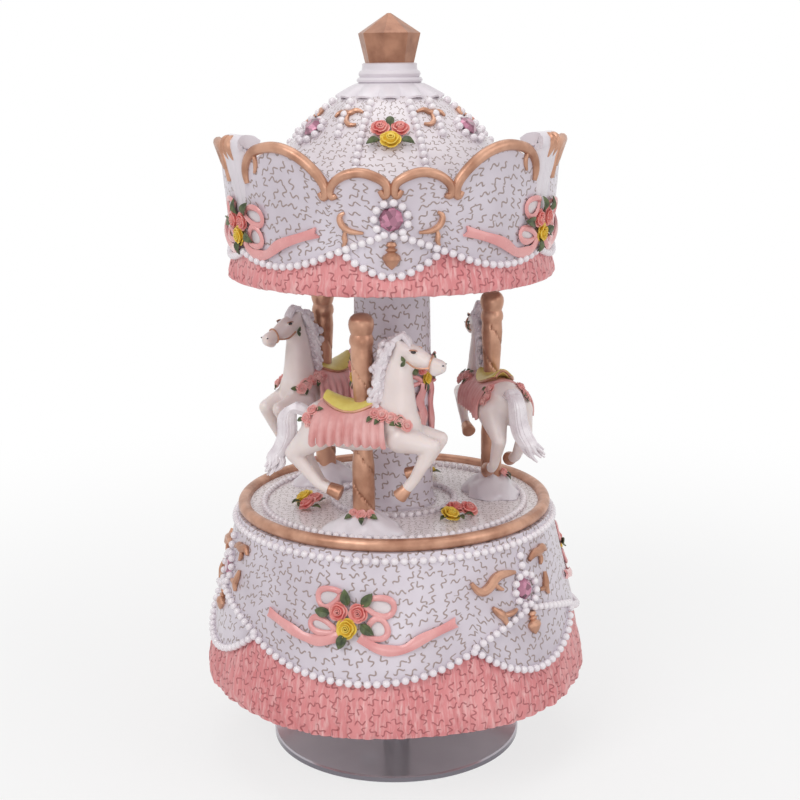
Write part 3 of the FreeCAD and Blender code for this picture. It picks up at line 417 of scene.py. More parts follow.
    @staticmethod
    def sheet(name: str, columns: int, rows: int, place: Lay, thickness: float) -> Piece:
        """Curved sheet with a thickness, from a grid whose points are laid one by one.

        Args:
            name: name of the new piece.
            columns: grid cells across.
            rows: grid cells along.
            place: takes the shares across and along, 0 to 1, and gives the point in metres.
            thickness: mm.

        Returns:
            The closed mesh object.
        """
        Bench.clear()
        bpy.ops.mesh.primitive_grid_add(x_subdivisions=columns, y_subdivisions=rows, size=1.0)
        obj = bpy.context.active_object
        for vertex in obj.data.vertices:
            vertex.co = place(vertex.co.x + 0.5, vertex.co.y + 0.5)
        Bench.rename(obj, name)
        Bench.apply(obj, "SOLIDIFY", thickness=thickness * MM, offset=0.0)
        return Bench.smooth(Bench.outward(obj), 50.0)

    @staticmethod
    def tube(name: str, points: Sequence[Vector], radii: Sequence[float], closed: bool = False,
             sides: int = 3) -> Piece:
        """Round bar along a smooth curve.

        Args:
            name: name of the new piece.
            points: points in metres that the curve passes near.
            radii: radius at each point, or one for all, in mm.
            closed: whether the curve is a loop.
            sides: bevel resolution of the bar.

        Returns:
            The bar.
        """
        curve = bpy.data.curves.new(name, "CURVE")
        curve.dimensions = "3D"
        curve.bevel_depth = MM
        curve.bevel_resolution = sides - 1
        curve.use_fill_caps = True
        spline = curve.splines.new("NURBS")
        spline.points.add(len(points) - 1)
        for i, point in enumerate(points):
            spline.points[i].co = (*point, 1.0)
            spline.points[i].radius = radii[i % len(radii)]
        spline.use_cyclic_u = closed
        spline.order_u = 3
        spline.use_endpoint_u = not closed
        spline.resolution_u = 4
        obj = bpy.data.objects.new(name, curve)
        bpy.context.collection.objects.link(obj)
        Bench.pick(obj)
        bpy.ops.object.convert(target="MESH")
        return Bench.smooth(Bench.fix_named(name))

    @staticmethod
    def ball(radius: float, place: Vector, stretch: Point = (1, 1, 1), rings: int = 12) -> Piece:
        """Stretched globe, the start of a rounded form.

        Args:
            radius: mm.
            place: centre in metres.
            stretch: scale along each axis.
            rings: rings from pole to pole.

        Returns:
            The globe.
        """
        Bench.clear()
        bpy.ops.mesh.primitive_uv_sphere_add(segments=rings * 2, ring_count=rings, radius=radius * MM)
        obj = bpy.context.active_object
        obj.matrix_world = Matrix.Translation(place) @ Matrix.Diagonal((*stretch, 1.0))
        return Bench.fix()

    @staticmethod
    def cone(start: Vector, end: Vector, radius: float, end_radius: float, sides: int) -> Piece:
        """Tapered bar between two points.

        Args:
            start: first end in metres.
            end: other end in metres.
            radius: radius at the start in mm.
            end_radius: radius at the end in mm.
            sides: faces around.

        Returns:
            The bar.
        """
        Bench.clear()
        along = end - start
        bpy.ops.mesh.primitive_cone_add(vertices=sides, radius1=radius * MM, radius2=end_radius * MM,
                                        depth=along.length)
        turn = along.to_track_quat("Z", "Y").to_matrix().to_4x4()
        bpy.context.active_object.matrix_world = Matrix.Translation((start + end) / 2) @ turn
        return Bench.fix()

    @staticmethod
    def bone(start: Vector, end: Vector, radius: float, end_radius: float) -> list[Piece]:
        """Tapered bar between two points in metres, with radii in millimetres, and a globe at each end."""
        bar = Bench.cone(start, end, radius, end_radius, 20)
        return [bar, Bench.ball(radius, start, rings=8), Bench.ball(end_radius, end, rings=8)]


# Finishes


def linear(colour: Screen) -> tuple[float, ...]:
    """Scene colour, with its alpha, of an 8-bit screen colour."""
    return (*((c / 255 / 12.92) if c < 11 else ((c / 255 + 0.055) / 1.055) ** 2.4 for c in colour), 1.0)


class Graph:
    """Short hand for laying out shader nodes in one node tree."""

    def __init__(self, tree: bpy.types.NodeTree) -> None:
        """Keeps the tree that the nodes go into."""
        self.tree = tree

    @classmethod
    def on(cls, owner: bpy.types.Material | bpy.types.World) -> "Graph":
        """Empties the node tree of a material or world.

        Args:
            owner: material or world.

        Returns:
            The graph of its tree.
        """
        owner.use_nodes = True
        owner.node_tree.nodes.clear()
        return cls(owner.node_tree)

    def add(self, kind: str, inputs: dict | None = None, **settings: object) -> bpy.types.Node:
        """Adds a node, sets its properties, and sets or links its inputs by name or number.

        Args:
            kind: node type.
            inputs: value or output socket for each input.
            settings: node properties.

        Returns:
            The new node.
        """
        node = self.tree.nodes.new(kind)
        for key, value in settings.items():
            setattr(node, key, value)
        for key, value in (inputs or {}).items():
            if isinstance(value, bpy.types.NodeSocket):
                self.tree.links.new(value, node.inputs[key])
            else:
                node.inputs[key].default_value = value
        return node

    def math(self, operation: str, first: object, second: object = 0.0) -> Socket:
        """Output of a math node."""
        return self.add("ShaderNodeMath", {0: first, 1: second}, operation=operation).outputs[0]

    def vector(self, operation: str, inputs: dict) -> Socket:
        """Output of a vector math node."""
        return self.add("ShaderNodeVectorMath", inputs, operation=operation).outputs[0]

    def blend(self, share: object, first: object, second: object) -> Socket:
        """Colour mixed from two by a share."""
        return self.add("ShaderNodeMix", {0: share, 6: first, 7: second}, data_type="RGBA").outputs[2]

    def remap(self, value: Socket, source: tuple[object, object], goal: Pair = (0.0, 1.0),
              kind: str = "LINEAR") -> Socket:
        """Value moved from the range between two source ends to that between two goal ends."""
        inputs = {0: value, 1: source[0], 2: source[1], 3: goal[0], 4: goal[1]}
        return self.add("ShaderNodeMapRange", inputs, interpolation_type=kind).outputs[0]


class Pattern:
    """Shader node groups that several finishes share."""

    @staticmethod
    def group(name: str, inputs: dict[str, tuple[str, object]], outputs: Sequence[str]) -> Graph:
        """Group with typed inputs and value outputs.

        Args:
            name: name of the group.
            inputs: socket type and first value of each input.
            outputs: names of the outputs.

        Returns:
            The graph of the empty group.
        """
        tree = bpy.data.node_groups.new(name, "ShaderNodeTree")
        for key, (kind, value) in inputs.items():
            socket = tree.interface.new_socket(key, in_out="INPUT", socket_type=kind)
            if value is not None:
                socket.default_value = value
        for key in outputs:
            tree.interface.new_socket(key, in_out="OUTPUT", socket_type="NodeSocketFloat")
        return Graph(tree)

    @staticmethod
    def squiggle() -> None:
        """Short wavy strokes, one in each cell, each turned its own way: mask 1 on the stroke."""
        g = Pattern.group("wavy_strokes", {
            "Vector": ("NodeSocketVector", None), "Cell": ("NodeSocketFloat", 4.0),
            "Width": ("NodeSocketFloat", 0.05)}, ["Mask"])
        source = g.add("NodeGroupInput").outputs
        scale = g.math("DIVIDE", 1.0, source["Cell"])
        grid = g.vector("SCALE", {0: source["Vector"], "Scale": scale})
        cell = g.add("ShaderNodeTexVoronoi", {"Vector": grid, "Scale": 1.0, "Randomness": 0.5},
                     voronoi_dimensions="2D", feature="F1")
        local = g.vector("SUBTRACT", {0: grid, 1: cell.outputs["Position"]})
        chance = g.add("ShaderNodeSeparateColor", {0: cell.outputs["Color"]}).outputs
        turn = {"Vector": local, "Angle": g.math("MULTIPLY", chance[0], 2 * math.pi)}
        local = g.add("ShaderNodeVectorRotate", turn, rotation_type="Z_AXIS").outputs[0]
        axes = g.add("ShaderNodeSeparateXYZ", {0: local}).outputs
        swing = g.math("ADD", g.math("MULTIPLY", axes[0], 9.5), g.math("MULTIPLY", chance[1], 6.0))
        bow = g.math("MULTIPLY", g.math("MULTIPLY", axes[0], axes[0]), g.math("SUBTRACT", chance[2], 0.5))
        wave = g.math("ADD", g.math("MULTIPLY", g.math("SINE", swing), 0.15), g.math("MULTIPLY", bow, 0.9))
        steep = g.math("MULTIPLY", g.math("COSINE", swing), 1.42)
        even = g.math("SQRT", g.math("ADD", g.math("MULTIPLY", steep, steep), 1.0))
        away = g.math("DIVIDE", g.math("ABSOLUTE", g.math("SUBTRACT", axes[1], wave)), even)
        core = g.math("MULTIPLY", source["Width"], 0.45)
        line = g.remap(away, (source["Width"], core), kind="SMOOTHSTEP")
        reach = g.remap(g.math("ABSOLUTE", axes[0]), (0.47, 0.43))
        g.add("NodeGroupOutput", {0: g.math("MULTIPLY", line, reach)})

    @staticmethod
    def mottle() -> None:
        """Soft cloudiness and fine grain of hand-painted resin."""
        g = Pattern.group("paint_mottle", {
            "Vector": ("NodeSocketVector", None), "Cloud": ("NodeSocketFloat", 60.0),
            "Grain": ("NodeSocketFloat", 900.0)}, ["Cloud", "Grain"])
        source = g.add("NodeGroupInput").outputs
        noises = {}
        for i, (key, detail) in enumerate((("Cloud", 3.0), ("Grain", 2.0))):
            inputs = {"Vector": source["Vector"], "Scale": source[key], "Detail": detail}
            noises[i] = g.add("ShaderNodeTexNoise", inputs).outputs[0]
        g.add("NodeGroupOutput", noises)


@dataclass(frozen=True)
class Finish:
    """Painted or plated surface, with cloudy colour, fine grain and, where it has them, wavy strokes."""

    name: str
    base: Screen
    shade: Screen
    mark: Screen | None = None
    cell: float = 2.45
    stroke: float = 0.088
    roughness: float = 0.4
    metallic: float = 0.0
    coat: float = 0.0
    grain: float = 0.12
    grain_scale: float = 900.0
    cloud_scale: float = 60.0
    subsurface: float = 0.0
    streak: Screen | None = None
    # side: painted shade, a deeper colour on upright faces for the darker reflection of a plated rim.
    side: Screen | None = None
    # Scale of Voronoi cells of flat colour between base and shade: painted light and shade of facets.
    facets: float = 0.0

    def material(self) -> bpy.types.Material:
        """Builds the material once and gives it again after that.

        Returns:
            The node material of this finish.
        """
        title = f"{self.name}_finish"
        if title in bpy.data.materials:
            return bpy.data.materials[title]
        material = bpy.data.materials.new(title)
        g = Graph.on(material)
        place = g.add("ShaderNodeTexCoord").outputs["Object"]
        mottle = g.add("ShaderNodeGroup", node_tree=bpy.data.node_groups["paint_mottle"])
        g.tree.links.new(place, mottle.inputs["Vector"])
        mottle.inputs["Cloud"].default_value = self.cloud_scale
        mottle.inputs["Grain"].default_value = self.grain_scale
        cloud = g.remap(mottle.outputs["Cloud"], (0.35, 0.68))
        # Painted facet light and shade: cells of flat colour take the place of the cloud where this is set.
        if self.facets:
            cells = g.add("ShaderNodeTexVoronoi", {"Vector": place, "Scale": self.facets})
            cloud = g.add("ShaderNodeSeparateColor", {0: cells.outputs["Color"]}).outputs[0]
        colour = g.blend(cloud, linear(self.base), linear(self.shade))
        if self.streak:
            colour = self.streaks(g, colour)
        # Painted shade on upright faces, where a finish has a side colour.
        if self.side:
            colour = self.upright(g, colour)
        height = g.math("MULTIPLY", mottle.outputs["Grain"], self.grain)
        if self.mark:
            colour, height = self.strokes(g, colour, height)
        bump = g.add("ShaderNodeBump", {"Height": height, "Strength": 0.55, "Distance": 0.0003})
        rough = g.remap(mottle.outputs["Grain"], (0.3, 0.7), (self.roughness * 0.85, self.roughness * 1.15))
        shader = g.add("ShaderNodeBsdfPrincipled", {
            "Base Color": colour, "Roughness": rough, "Normal": bump.outputs[0], "Metallic": self.metallic,
            "Coat Weight": self.coat, "Coat Roughness": 0.12, "Subsurface Weight": self.subsurface,
            "Subsurface Radius": (1.0, 0.75, 0.5), "Subsurface Scale": 0.0015})
        g.add("ShaderNodeOutputMaterial", {0: shader.outputs[0]})
        return material

    def streaks(self, g: Graph, colour: Socket) -> Socket:
        """Dry-brushed upright streaks of a paler paint over a colour.

        Args:
            g: node tree of the material.
            colour: colour under the streaks.

        Returns:
            The colour with the streaks.
        """
        flat = g.add("ShaderNodeUVMap", uv_map="UVMap").outputs[0]
        tall = g.vector("MULTIPLY", {0: flat, 1: (1.5, 0.24, 0.0)})
        brush = {"Vector": tall, "Scale": 1.0, "Detail": 4.0, "Roughness": 0.6}
        noise = g.add("ShaderNodeTexNoise", brush).outputs[0]
        return g.blend(g.remap(noise, (0.48, 0.72), (0.0, 0.75)), colour, linear(self.streak))

    def upright(self, g: Graph, colour: Socket) -> Socket:
        """Painted shade on upright faces, such as the rim of a plated disc: a deeper colour that stands in
        for the darker reflection there.

        Args:
            g: node tree of the material.
            colour: colour of the level faces.

        Returns:
            The colour with that of the upright faces.
        """
        normal = g.add("ShaderNodeTexCoord").outputs["Normal"]
        up = g.math("ABSOLUTE", g.add("ShaderNodeSeparateXYZ", {0: normal}).outputs[2])
        return g.blend(g.remap(up, (0.4, 0.95)), linear(self.side), colour)

    def strokes(self, g: Graph, colour: Socket, height: Socket) -> tuple[Socket, Socket]:
        """Lays a scatter of wavy strokes over a colour and a height.

        Args:
            g: node tree of the material.
            colour: colour under the strokes.
            height: height under the strokes.

        Returns:
            The colour and height with the strokes.
        """
        flat = g.add("ShaderNodeUVMap", uv_map="UVMap").outputs[0]
        group = g.add("ShaderNodeGroup", node_tree=bpy.data.node_groups["wavy_strokes"])
        g.tree.links.new(flat, group.inputs["Vector"])
        group.inputs["Cell"].default_value = self.cell
        group.inputs["Width"].default_value = self.stroke
        mask = group.outputs["Mask"]
        colour = g.blend(g.math("MULTIPLY", mask, 0.8), colour, linear(self.mark))
        return colour, g.math("ADD", height, g.math("MULTIPLY", mask, 0.5))


class Paint(Enum):
    """Finishes of the carousel's surfaces."""

    PEARL_RESIN = Finish("pearl_resin", (223, 215, 225), (204, 194, 204), (146, 122, 110), roughness=0.36,
                         coat=0.25)
    PLAIN_PEARL = Finish("plain_pearl_resin", (236, 230, 236), (221, 213, 220), roughness=0.36, coat=0.25)
    DOME = Finish("dome_resin", (234, 226, 231), (218, 208, 214), (146, 122, 110), cell=1.9, stroke=0.08,
                  roughness=0.36, coat=0.25)
    # Deck resin is paler than the drape's: painted light that lifts the shade the canopy casts on the deck.
    # Its finer, paler strokes are its own pattern.
    DECK = Finish("deck_resin_painted_light", (247, 240, 241), (237, 229, 232), (148, 128, 120), cell=1.35, stroke=0.085,
                  roughness=0.35, coat=0.25)
    CORAL = Finish("coral_resin", (230, 152, 153), (216, 128, 131), (166, 84, 88), cell=2.5, stroke=0.08,
                   roughness=0.42, coat=0.15, streak=(246, 204, 202))
    BRONZE = Finish("bronze_paint", (208, 160, 134), (168, 120, 96), roughness=0.36, metallic=0.5, grain=0.3,
                    cloud_scale=240.0)
    AGED_BRONZE = Finish("aged_bronze_paint", (184, 134, 108), (146, 100, 78), roughness=0.36, metallic=0.5,
                         grain=0.3, cloud_scale=240.0)
    PEARL = Finish("pearl_beads", (244, 238, 242), (232, 224, 230), roughness=0.2, coat=0.5, grain=0.03)
    ROSE = Finish("coral_petals", (244, 176, 168), (226, 124, 120), roughness=0.45, cloud_scale=500.0)
    YELLOW_ROSE = Finish("yellow_petals", (244, 216, 96), (230, 190, 62), roughness=0.45, cloud_scale=500.0)
    PINK_ROSE = Finish("pink_petals", (247, 198, 192), (236, 164, 161), roughness=0.45, cloud_scale=500.0)
    LEAF = Finish("dark_leaves", (100, 112, 70), (52, 62, 42), roughness=0.4, grain=0.3, cloud_scale=700.0)
    RIBBON = Finish("pink_ribbon", (234, 168, 166), (222, 146, 146), roughness=0.25, coat=0.4,
                    cloud_scale=200.0)
    PALE_RIBBON = Finish("pale_ribbon", (226, 216, 218), (208, 198, 204), roughness=0.3, coat=0.3)
    CLOTH = Finish("pink_cloth", (232, 180, 177), (214, 146, 143), roughness=0.45, coat=0.1,
                   cloud_scale=260.0)
    HORSE = Finish("horse_resin", (239, 228, 225), (227, 212, 209), roughness=0.34, coat=0.2, subsurface=0.25,
                   cloud_scale=120.0)
    MANE = Finish("pearly_mane", (238, 232, 236), (220, 210, 216), roughness=0.26, coat=0.4,
                  cloud_scale=400.0)
    SADDLE = Finish("saddle_paint", (230, 216, 124), (212, 192, 92), roughness=0.4, coat=0.2,
                    cloud_scale=300.0)
    EYE = Finish("dark_eye", (34, 22, 18), (20, 14, 12), roughness=0.15, coat=0.6)
    # The stone's cells run from pink to a deep shade colour: painted light and shade of its facets.
    STONE = Finish("pink_stone", (208, 138, 165), (90, 38, 62), roughness=0.06, metallic=0.35, coat=0.8,
                   grain=0.0, facets=900.0)
    # Pale base, part diffuse at metallic 0.7: painted light that keeps the disc's shaded top mid-grey in
    # place of a brighter reflection. Its side colour is painted shade on the rim for the rim's darker
    # reflection.
    CHROME = Finish("polished_disc", (218, 212, 219), (206, 200, 207), roughness=0.15, metallic=0.7,
                    grain=0.01, side=(132, 128, 136))
    SATIN_STEEL = Finish("satin_steel", (170, 170, 172), (140, 140, 143), roughness=0.35, metallic=1.0)
    BRASS = Finish("brass", (205, 170, 98), (178, 140, 72), roughness=0.3, metallic=1.0)
    FOAM = Finish("dark_foam", (62, 60, 58), (44, 43, 42), roughness=0.85, grain=0.8)
    # Near white, paler than a grey board: painted light, so that its shaded reflection in the disc under the
    # base reads lighter.
    BOARD = Finish("pale_board_painted_light", (230, 226, 226), (214, 209, 209), roughness=0.7, grain=0.5)
    NYLON = Finish("nylon", (222, 220, 212), (208, 205, 196), roughness=0.5)

    @property
    def material(self) -> bpy.types.Material:
        """Material of this finish."""
        return self.value.material()


def settle(piece: Piece, paint: Paint, slot: str, *nodes: str) -> None:
    """Gives a finished piece its material and its body, and hides the CAD nodes that it stands for.

    Args:
        piece: finished mesh object at the origin.
        paint: finish of all its faces.
        slot: not used.
        nodes: CAD nodes that it replaces.
    """
    piece.data.materials.clear()
    piece.data.materials.append(paint.material)
    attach(piece, CAROUSEL)
    if nodes:
        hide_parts(*nodes)
    LOG.info("%s: %d faces", piece.name, len(piece.data.polygons))


# Ornament


@dataclass(frozen=True)
class Carrier:
    """Round surface that ornament is laid on: heights with their radii, in millimetres."""

    profile: Profile

    def radius(self, height: float) -> float:
        """Radius of the surface at a height, in millimetres."""
        return lerp(self.profile, height)

    def seat(self, azimuth: float, height: float, across: float = 0.0, up: float = 0.0, proud: float = 0.0,
             spin: float = 0.0, size: float = 1.0) -> Matrix:
        """Place on the surface with local X around it, Y up along it and Z out of it.

        Args:
            azimuth: degrees from the front.
            height: mm above the table.
            across: mm along the girth from there.
            up: mm up along the surface from there.
            proud: mm out of the surface.
            spin: degrees about the outward direction.
            size: scale of what is placed.

        Returns:
            The transform in metres.
        """
        slope = self.radius(height + 0.5) - self.radius(height - 0.5)
        unit = math.hypot(1.0, slope)
        level = height + up / unit
        radius = self.radius(level)
        turn = azimuth + math.degrees(across / radius)
        place = spot(radius + proud / unit, turn, level - proud * slope / unit)
        lean = turned(math.pi / 2 + math.atan(slope), "X")
        around = turned(math.radians(turn))
        return (Matrix.Translation(place) @ around @ lean @ turned(math.radians(spin))
                @ scaled(size))

    def at(self, azimuth: float, height: float, across: float = 0.0, up: float = 0.0,
           proud: float = 0.0) -> Vector:
        """Point on the surface, in metres."""
        return self.seat(azimuth, height, across, up, proud).translation


BASE_WALL = Carrier(((16.0, 42.0), (30.0, 40.15), (53.5, 34.45), (56.0, 34.4)))
COLUMN_WALL = Carrier(((50.0, 8.65), (110.0, 8.1)))
VALANCE_WALL = Carrier(((104.0, 33.2), (108.5, 33.45), (133.0, 35.65), (140.0, 36.2)))
DOME_WALL = Carrier(((119.0, 32.0), (120.5, 31.8), (126.2, 26.9), (130.7, 22.6), (134.9, 18.05),
                     (138.4, 14.0), (141.5, 10.2), (143.0, 9.0)))


@dataclass
class Trimmings:
    """Small ornament that repeats: each kind is modelled once and copied to its places."""

    area: str
    pearls: list[Matrix] = field(default_factory=list)
    blooms: dict[Paint, list[Matrix]] = field(default_factory=dict)
    leaves: list[Matrix] = field(default_factory=list)

    def strand(self, points: Sequence[Vector], radius: float = 0.84, pitch: float = 1.9,
               closed: bool = False) -> None:
        """Strings pearls along a line.

        Args:
            points: close points along the line, in metres.
            radius: pearl radius in mm.
            pitch: distance between pearls in mm.
            closed: whether the line comes back to its start.
        """
        path = [*points, points[0]] if closed else list(points)
        reach = [0.0]
        for before, after in zip(path, path[1:]):
            reach.append(reach[-1] + (after - before).length)
        count = max(1, round(reach[-1] / (pitch * MM)))
        for i in range(count if closed else count + 1):
            goal = reach[-1] * i / count
            k = min(max(j for j, value in enumerate(reach) if value <= goal + 1e-12), len(path) - 2)
            share = (goal - reach[k]) / max(reach[k + 1] - reach[k], 1e-9)
            self.pearls.append(Matrix.Translation(path[k].lerp(path[k + 1], share)) @ scaled(radius))

    def ring(self, carrier: Carrier, azimuth: float, height: float, radius: float, count: int) -> None:
        """Pearls around a stone on a surface.

        Args:
            carrier: surface.
            azimuth: degrees from the front of the stone.
            height: height of the stone in mm.
            radius: radius of the ring in mm.
            count: number of pearls.
        """
        for i in range(count):
            angle = 2 * math.pi * (i + 0.5) / count
            place = carrier.at(azimuth, height, radius * math.cos(angle), radius * math.sin(angle), 0.45)
            self.pearls.append(Matrix.Translation(place) @ scaled(0.82))

    def bloom(self, paint: Paint, place: Matrix) -> None:
        """Adds one rose."""
        self.blooms.setdefault(paint, []).append(place)

    @staticmethod
    def pearl() -> Piece:
        """One pearl, a millimetre in radius, slightly flattened on its seat.

        Returns:
            The pearl.
        """
        Bench.clear()
        bpy.ops.mesh.primitive_ico_sphere_add(subdivisions=2, radius=MM)
        obj = Bench.fix_named("pearl")
        for vertex in obj.data.vertices:
            vertex.co.z *= 0.97
        return Bench.smooth(obj, 80.0)

    @staticmethod
    def rose() -> Piece:
        """One opened rose, a millimetre in radius, facing +Z: a rolled heart in two rounds of petals.

        Returns:
            The rose.
        """
        def heart(across: float, along: float) -> Vector:
            """Rolled heart.

            Args:
                across: share of the height.
                along: share of the roll.

            Returns:
                The point in metres.
            """
            turn = 4.6 * math.pi * along
            radius = 0.08 + 0.36 * along
            lift = 0.25 + (0.62 - 0.2 * along) * across
            return Vector((radius * math.cos(turn), radius * math.sin(turn), lift)) * MM

        parts = [Bench.sheet("heart", 1, 26, heart, 0.09)]
        inner_round, outer_round = (4, 0.2, 0.74, 0.1, 0.74, 0.3), (5, 0.25, 1.0, 0.0, 0.46, 0.0)
        for count, inner, outer, low, high, shift in (inner_round, outer_round):
            for i in range(count):
                middle = 2 * math.pi * i / count + shift

                def petal(across: float, along: float, middle: float = middle) -> Vector:
                    """One petal, cupped and turned out at its edge.

                    Args:
                        across: share of the width.
                        along: share of the length.
                        middle: direction of the petal in radians.

                    Returns:
                        The point in metres.
                    """
                    side = (across - 0.5) * 2
                    turn = middle + side * (0.95 - 0.2 * along) * math.pi / count * 1.25
                    reach = (outer - inner) * math.sin(along * math.pi / 2)
                    radius = inner + reach - 0.1 * side * side * along
                    lift = low + (high - low) * along ** 1.4 - 0.16 * max(0.0, along - 0.75) * 4
                    return Vector((radius * math.cos(turn), radius * math.sin(turn), lift + 0.05 * side)) * MM

                parts.append(Bench.sheet("petal", 4, 4, petal, 0.1))
        return Bench.joined("rose", parts)

    @staticmethod
    def leaf() -> Piece:
        """One pointed leaf along +Y, a millimetre long, folded along its middle.

        Returns:
            The leaf.
        """
        def blade(across: float, along: float) -> Vector:
            """Blade with a toothed edge.

            Args:
                across: share of the width.
                along: share of the length.

            Returns:
                The point in metres.
            """
            side = (across - 0.5) * 2
            width = 0.3 * math.sin(math.pi * along ** 0.8) ** 0.8 * (1 + 0.12 * math.sin(along * 22))
            lift = 0.12 + 0.16 * abs(side) * width / 0.3 + 0.1 * math.sin(math.pi * along)
            return Vector((side * width, along, lift)) * MM

        return Bench.sheet("leaf", 4, 7, blade, 0.06)

    def finish(self, *nodes: str) -> None:
        """Models what was placed and settles each kind as one piece.

        Args:
            nodes: CAD nodes that the first kind of rose stands for.
        """
        if self.pearls:
            settle(Bench.copies(f"{self.area}_pearls", self.pearl(), self.pearls), Paint.PEARL, "white_resin")
        for paint, places in self.blooms.items():
            piece = Bench.copies(f"{self.area}_{paint.name.lower()}s", self.rose(), places)
            settle(piece, paint, "flower_paint", *nodes)
            nodes = ()
        if self.leaves:
            settle(Bench.copies(f"{self.area}_leaves", self.leaf(), self.leaves), Paint.LEAF, "flower_paint")


@dataclass
class Posy:
    """Bow of ribbon with two coral roses, a yellow one and leaves, laid on a round wall."""

    carrier: Carrier
    azimuth: float
    height: float
    left: Profile
    right: Profile
    size: float = 1.0
    band: float = 2.1

    roses = ((Paint.ROSE, -2.1, 0.3, 2.05, 10), (Paint.ROSE, 1.9, 0.3, 2.05, 50),
             (Paint.YELLOW_ROSE, -0.3, -2.9, 2.2, 0))
    sprigs = ((-0.3, 1.6, 15), (2.6, 1.6, -35), (-3.8, -0.2, 85), (2.4, -1.9, -125), (-0.6, -4.0, 160))
    bows = ((-4.3, 3.0, 2.5, 2.0, 25), (5.8, 1.8, 3.1, 2.0, -12), (-5.4, -3.0, 2.8, 1.5, -12),
            (5.6, -2.9, 2.1, 2.3, 30))

    def seat(self, across: float, up: float, proud: float, spin: float, size: float = 1.0) -> Matrix:
        """Place at millimetres across and up from the middle of the posy, before it is scaled."""
        place = (self.azimuth, self.height, across * self.size, up * self.size)
        return self.carrier.seat(*place, proud, spin, size)

    def flowers(self, trim: Trimmings) -> None:
        """Adds the roses and leaves."""
        for paint, across, up, size, spin in self.roses:
            trim.bloom(paint, self.seat(across, up, 0.35, spin, size * self.size))
        for across, up, spin in self.sprigs:
            trim.leaves.append(self.seat(across, up, 0.4, spin, 3.4 * self.size))

    @staticmethod
    def course(line: Sequence[Vector], along: float) -> Vector:
        """Point on the smooth curve through a line of points.

        Args:
            line: points.
            along: share of the way, where each stretch counts alike.

        Returns:
            The point.
        """
        place = along * (len(line) - 1)
        i = min(int(place), len(line) - 2)
        before, a, b, after = line[max(i - 1, 0)], line[i], line[i + 1], line[min(i + 2, len(line) - 1)]
        t = place - i
        return ((2 * a) + (b - before) * t + (2 * before - 5 * a + 4 * b - after) * t * t
                + (3 * a - before - 3 * b + after) * t ** 3) / 2

    def ribbon(self, points: Profile, width: float, notch: bool = True) -> Piece:
        """Flat ribbon on the wall, crowned and lightly waved.

        Args:
            points: mm across and up.
            width: mm.
            notch: whether its end is notched.

        Returns:
            The ribbon.
        """
        line = [Vector((x, y, 0)) * self.size for x, y in points]

        def lay(across: float, along: float) -> Vector:
            """Surface of the ribbon.

            Args:
                across: share of the width.
                along: share of the length.

            Returns:
                The point in metres.
            """
            after = self.course(line, min(along + 0.02, 1))
            before = self.course(line, max(along - 0.02, 0))
            ahead = (after - before).normalized()
            side = (across - 0.5) * width * self.size * (1 - 0.25 * math.sin(9 * along) ** 2)
            point = self.course(line, along) + Vector((-ahead.y, ahead.x, 0)) * side
            if notch and along > 0.96:
                point -= ahead * 0.45 * (1 - abs(2 * across - 1))
            proud = 0.42 + 0.3 * (1 - (2 * across - 1) ** 2) + 0.22 * math.sin(11 * along)
            return self.carrier.at(self.azimuth, self.height, point.x, point.y, proud)

        return Bench.sheet("ribbon", 4, 22, lay, 0.5)

    def loops(self) -> tuple[list[Piece], list[Piece]]:
        """Four loops of the bow.

        Returns:
            The loops, and the pale insides that show in them.
        """
        bands, insides = [], []
        for across, up, wide, tall, lean in self.bows:
            turn = math.radians(lean)
            inward = 180.0 if across > 0 else 0.0
            points = []
            for step in range(0, 361, 30):
                angle = math.radians(inward + step)
                pinch = 0.45 + 0.55 * (1 - math.cos(math.radians(step))) / 2
                x, y = wide * math.cos(angle), tall * math.sin(angle) * pinch * 1.2
                points.append((across + x * math.cos(turn) - y * math.sin(turn),
                               up + x * math.sin(turn) + y * math.cos(turn)))
            bands.append(self.ribbon(points, 0.95, notch=False))
            inside = Matrix.Diagonal((wide * self.size * 0.85, tall * self.size * 0.85, 0.3, 1))
            place = self.seat(across, up, 0.22, lean) @ inside
            insides.append(Bench.moved(Bench.ball(1.0, Vector(), rings=6), place))
        return bands, insides


@dataclass
class Bows:
    """Ribbons of several posies, and the pale insides of their bows."""

    area: str
    bands: list[Piece] = field(default_factory=list)
    insides: list[Piece] = field(default_factory=list)

    def tie(self, posy: Posy, trim: Trimmings) -> None:
        """Takes in one posy.

        Args:
            posy: bow with its flowers.
            trim: where the flowers go.
        """
        posy.flowers(trim)
        bands, insides = posy.loops()
        self.bands += [*bands, posy.ribbon(posy.left, posy.band), posy.ribbon(posy.right, posy.band)]
        self.insides += insides

    def finish(self) -> None:
        """Settles the ribbons and the insides."""
        settle(Bench.joined(f"{self.area}_ribbons", self.bands), Paint.RIBBON, "coral_resin")
        settle(Bench.joined(f"{self.area}_bow_insides", self.insides), Paint.PALE_RIBBON, "white_resin")


def scroll(carrier: Carrier, azimuth: float, height: float, points: Profile, thick: float,
           thin: float) -> Piece:
    """Leaf scroll on a wall: a bar that is thickest in the middle.

    Args:
        carrier: wall that it lies on.
        azimuth: degrees from the front of the point it is drawn from.
        height: height of that point in mm.
        points: mm across and up.
        thick: greatest radius in mm.
        thin: size of the ends in mm.

    Returns:
        The bar.
    """
    places = [carrier.at(azimuth, height, x, y, 0.35) for x, y in points]
    last = len(points) - 1
    shares = [0.08 + 0.84 * i / last for i in range(last + 1)]
    radii = [0.4 * thin + thick * math.sin(math.pi * share) ** 0.9 for share in shares]
    return Bench.tube("scroll", places, radii)


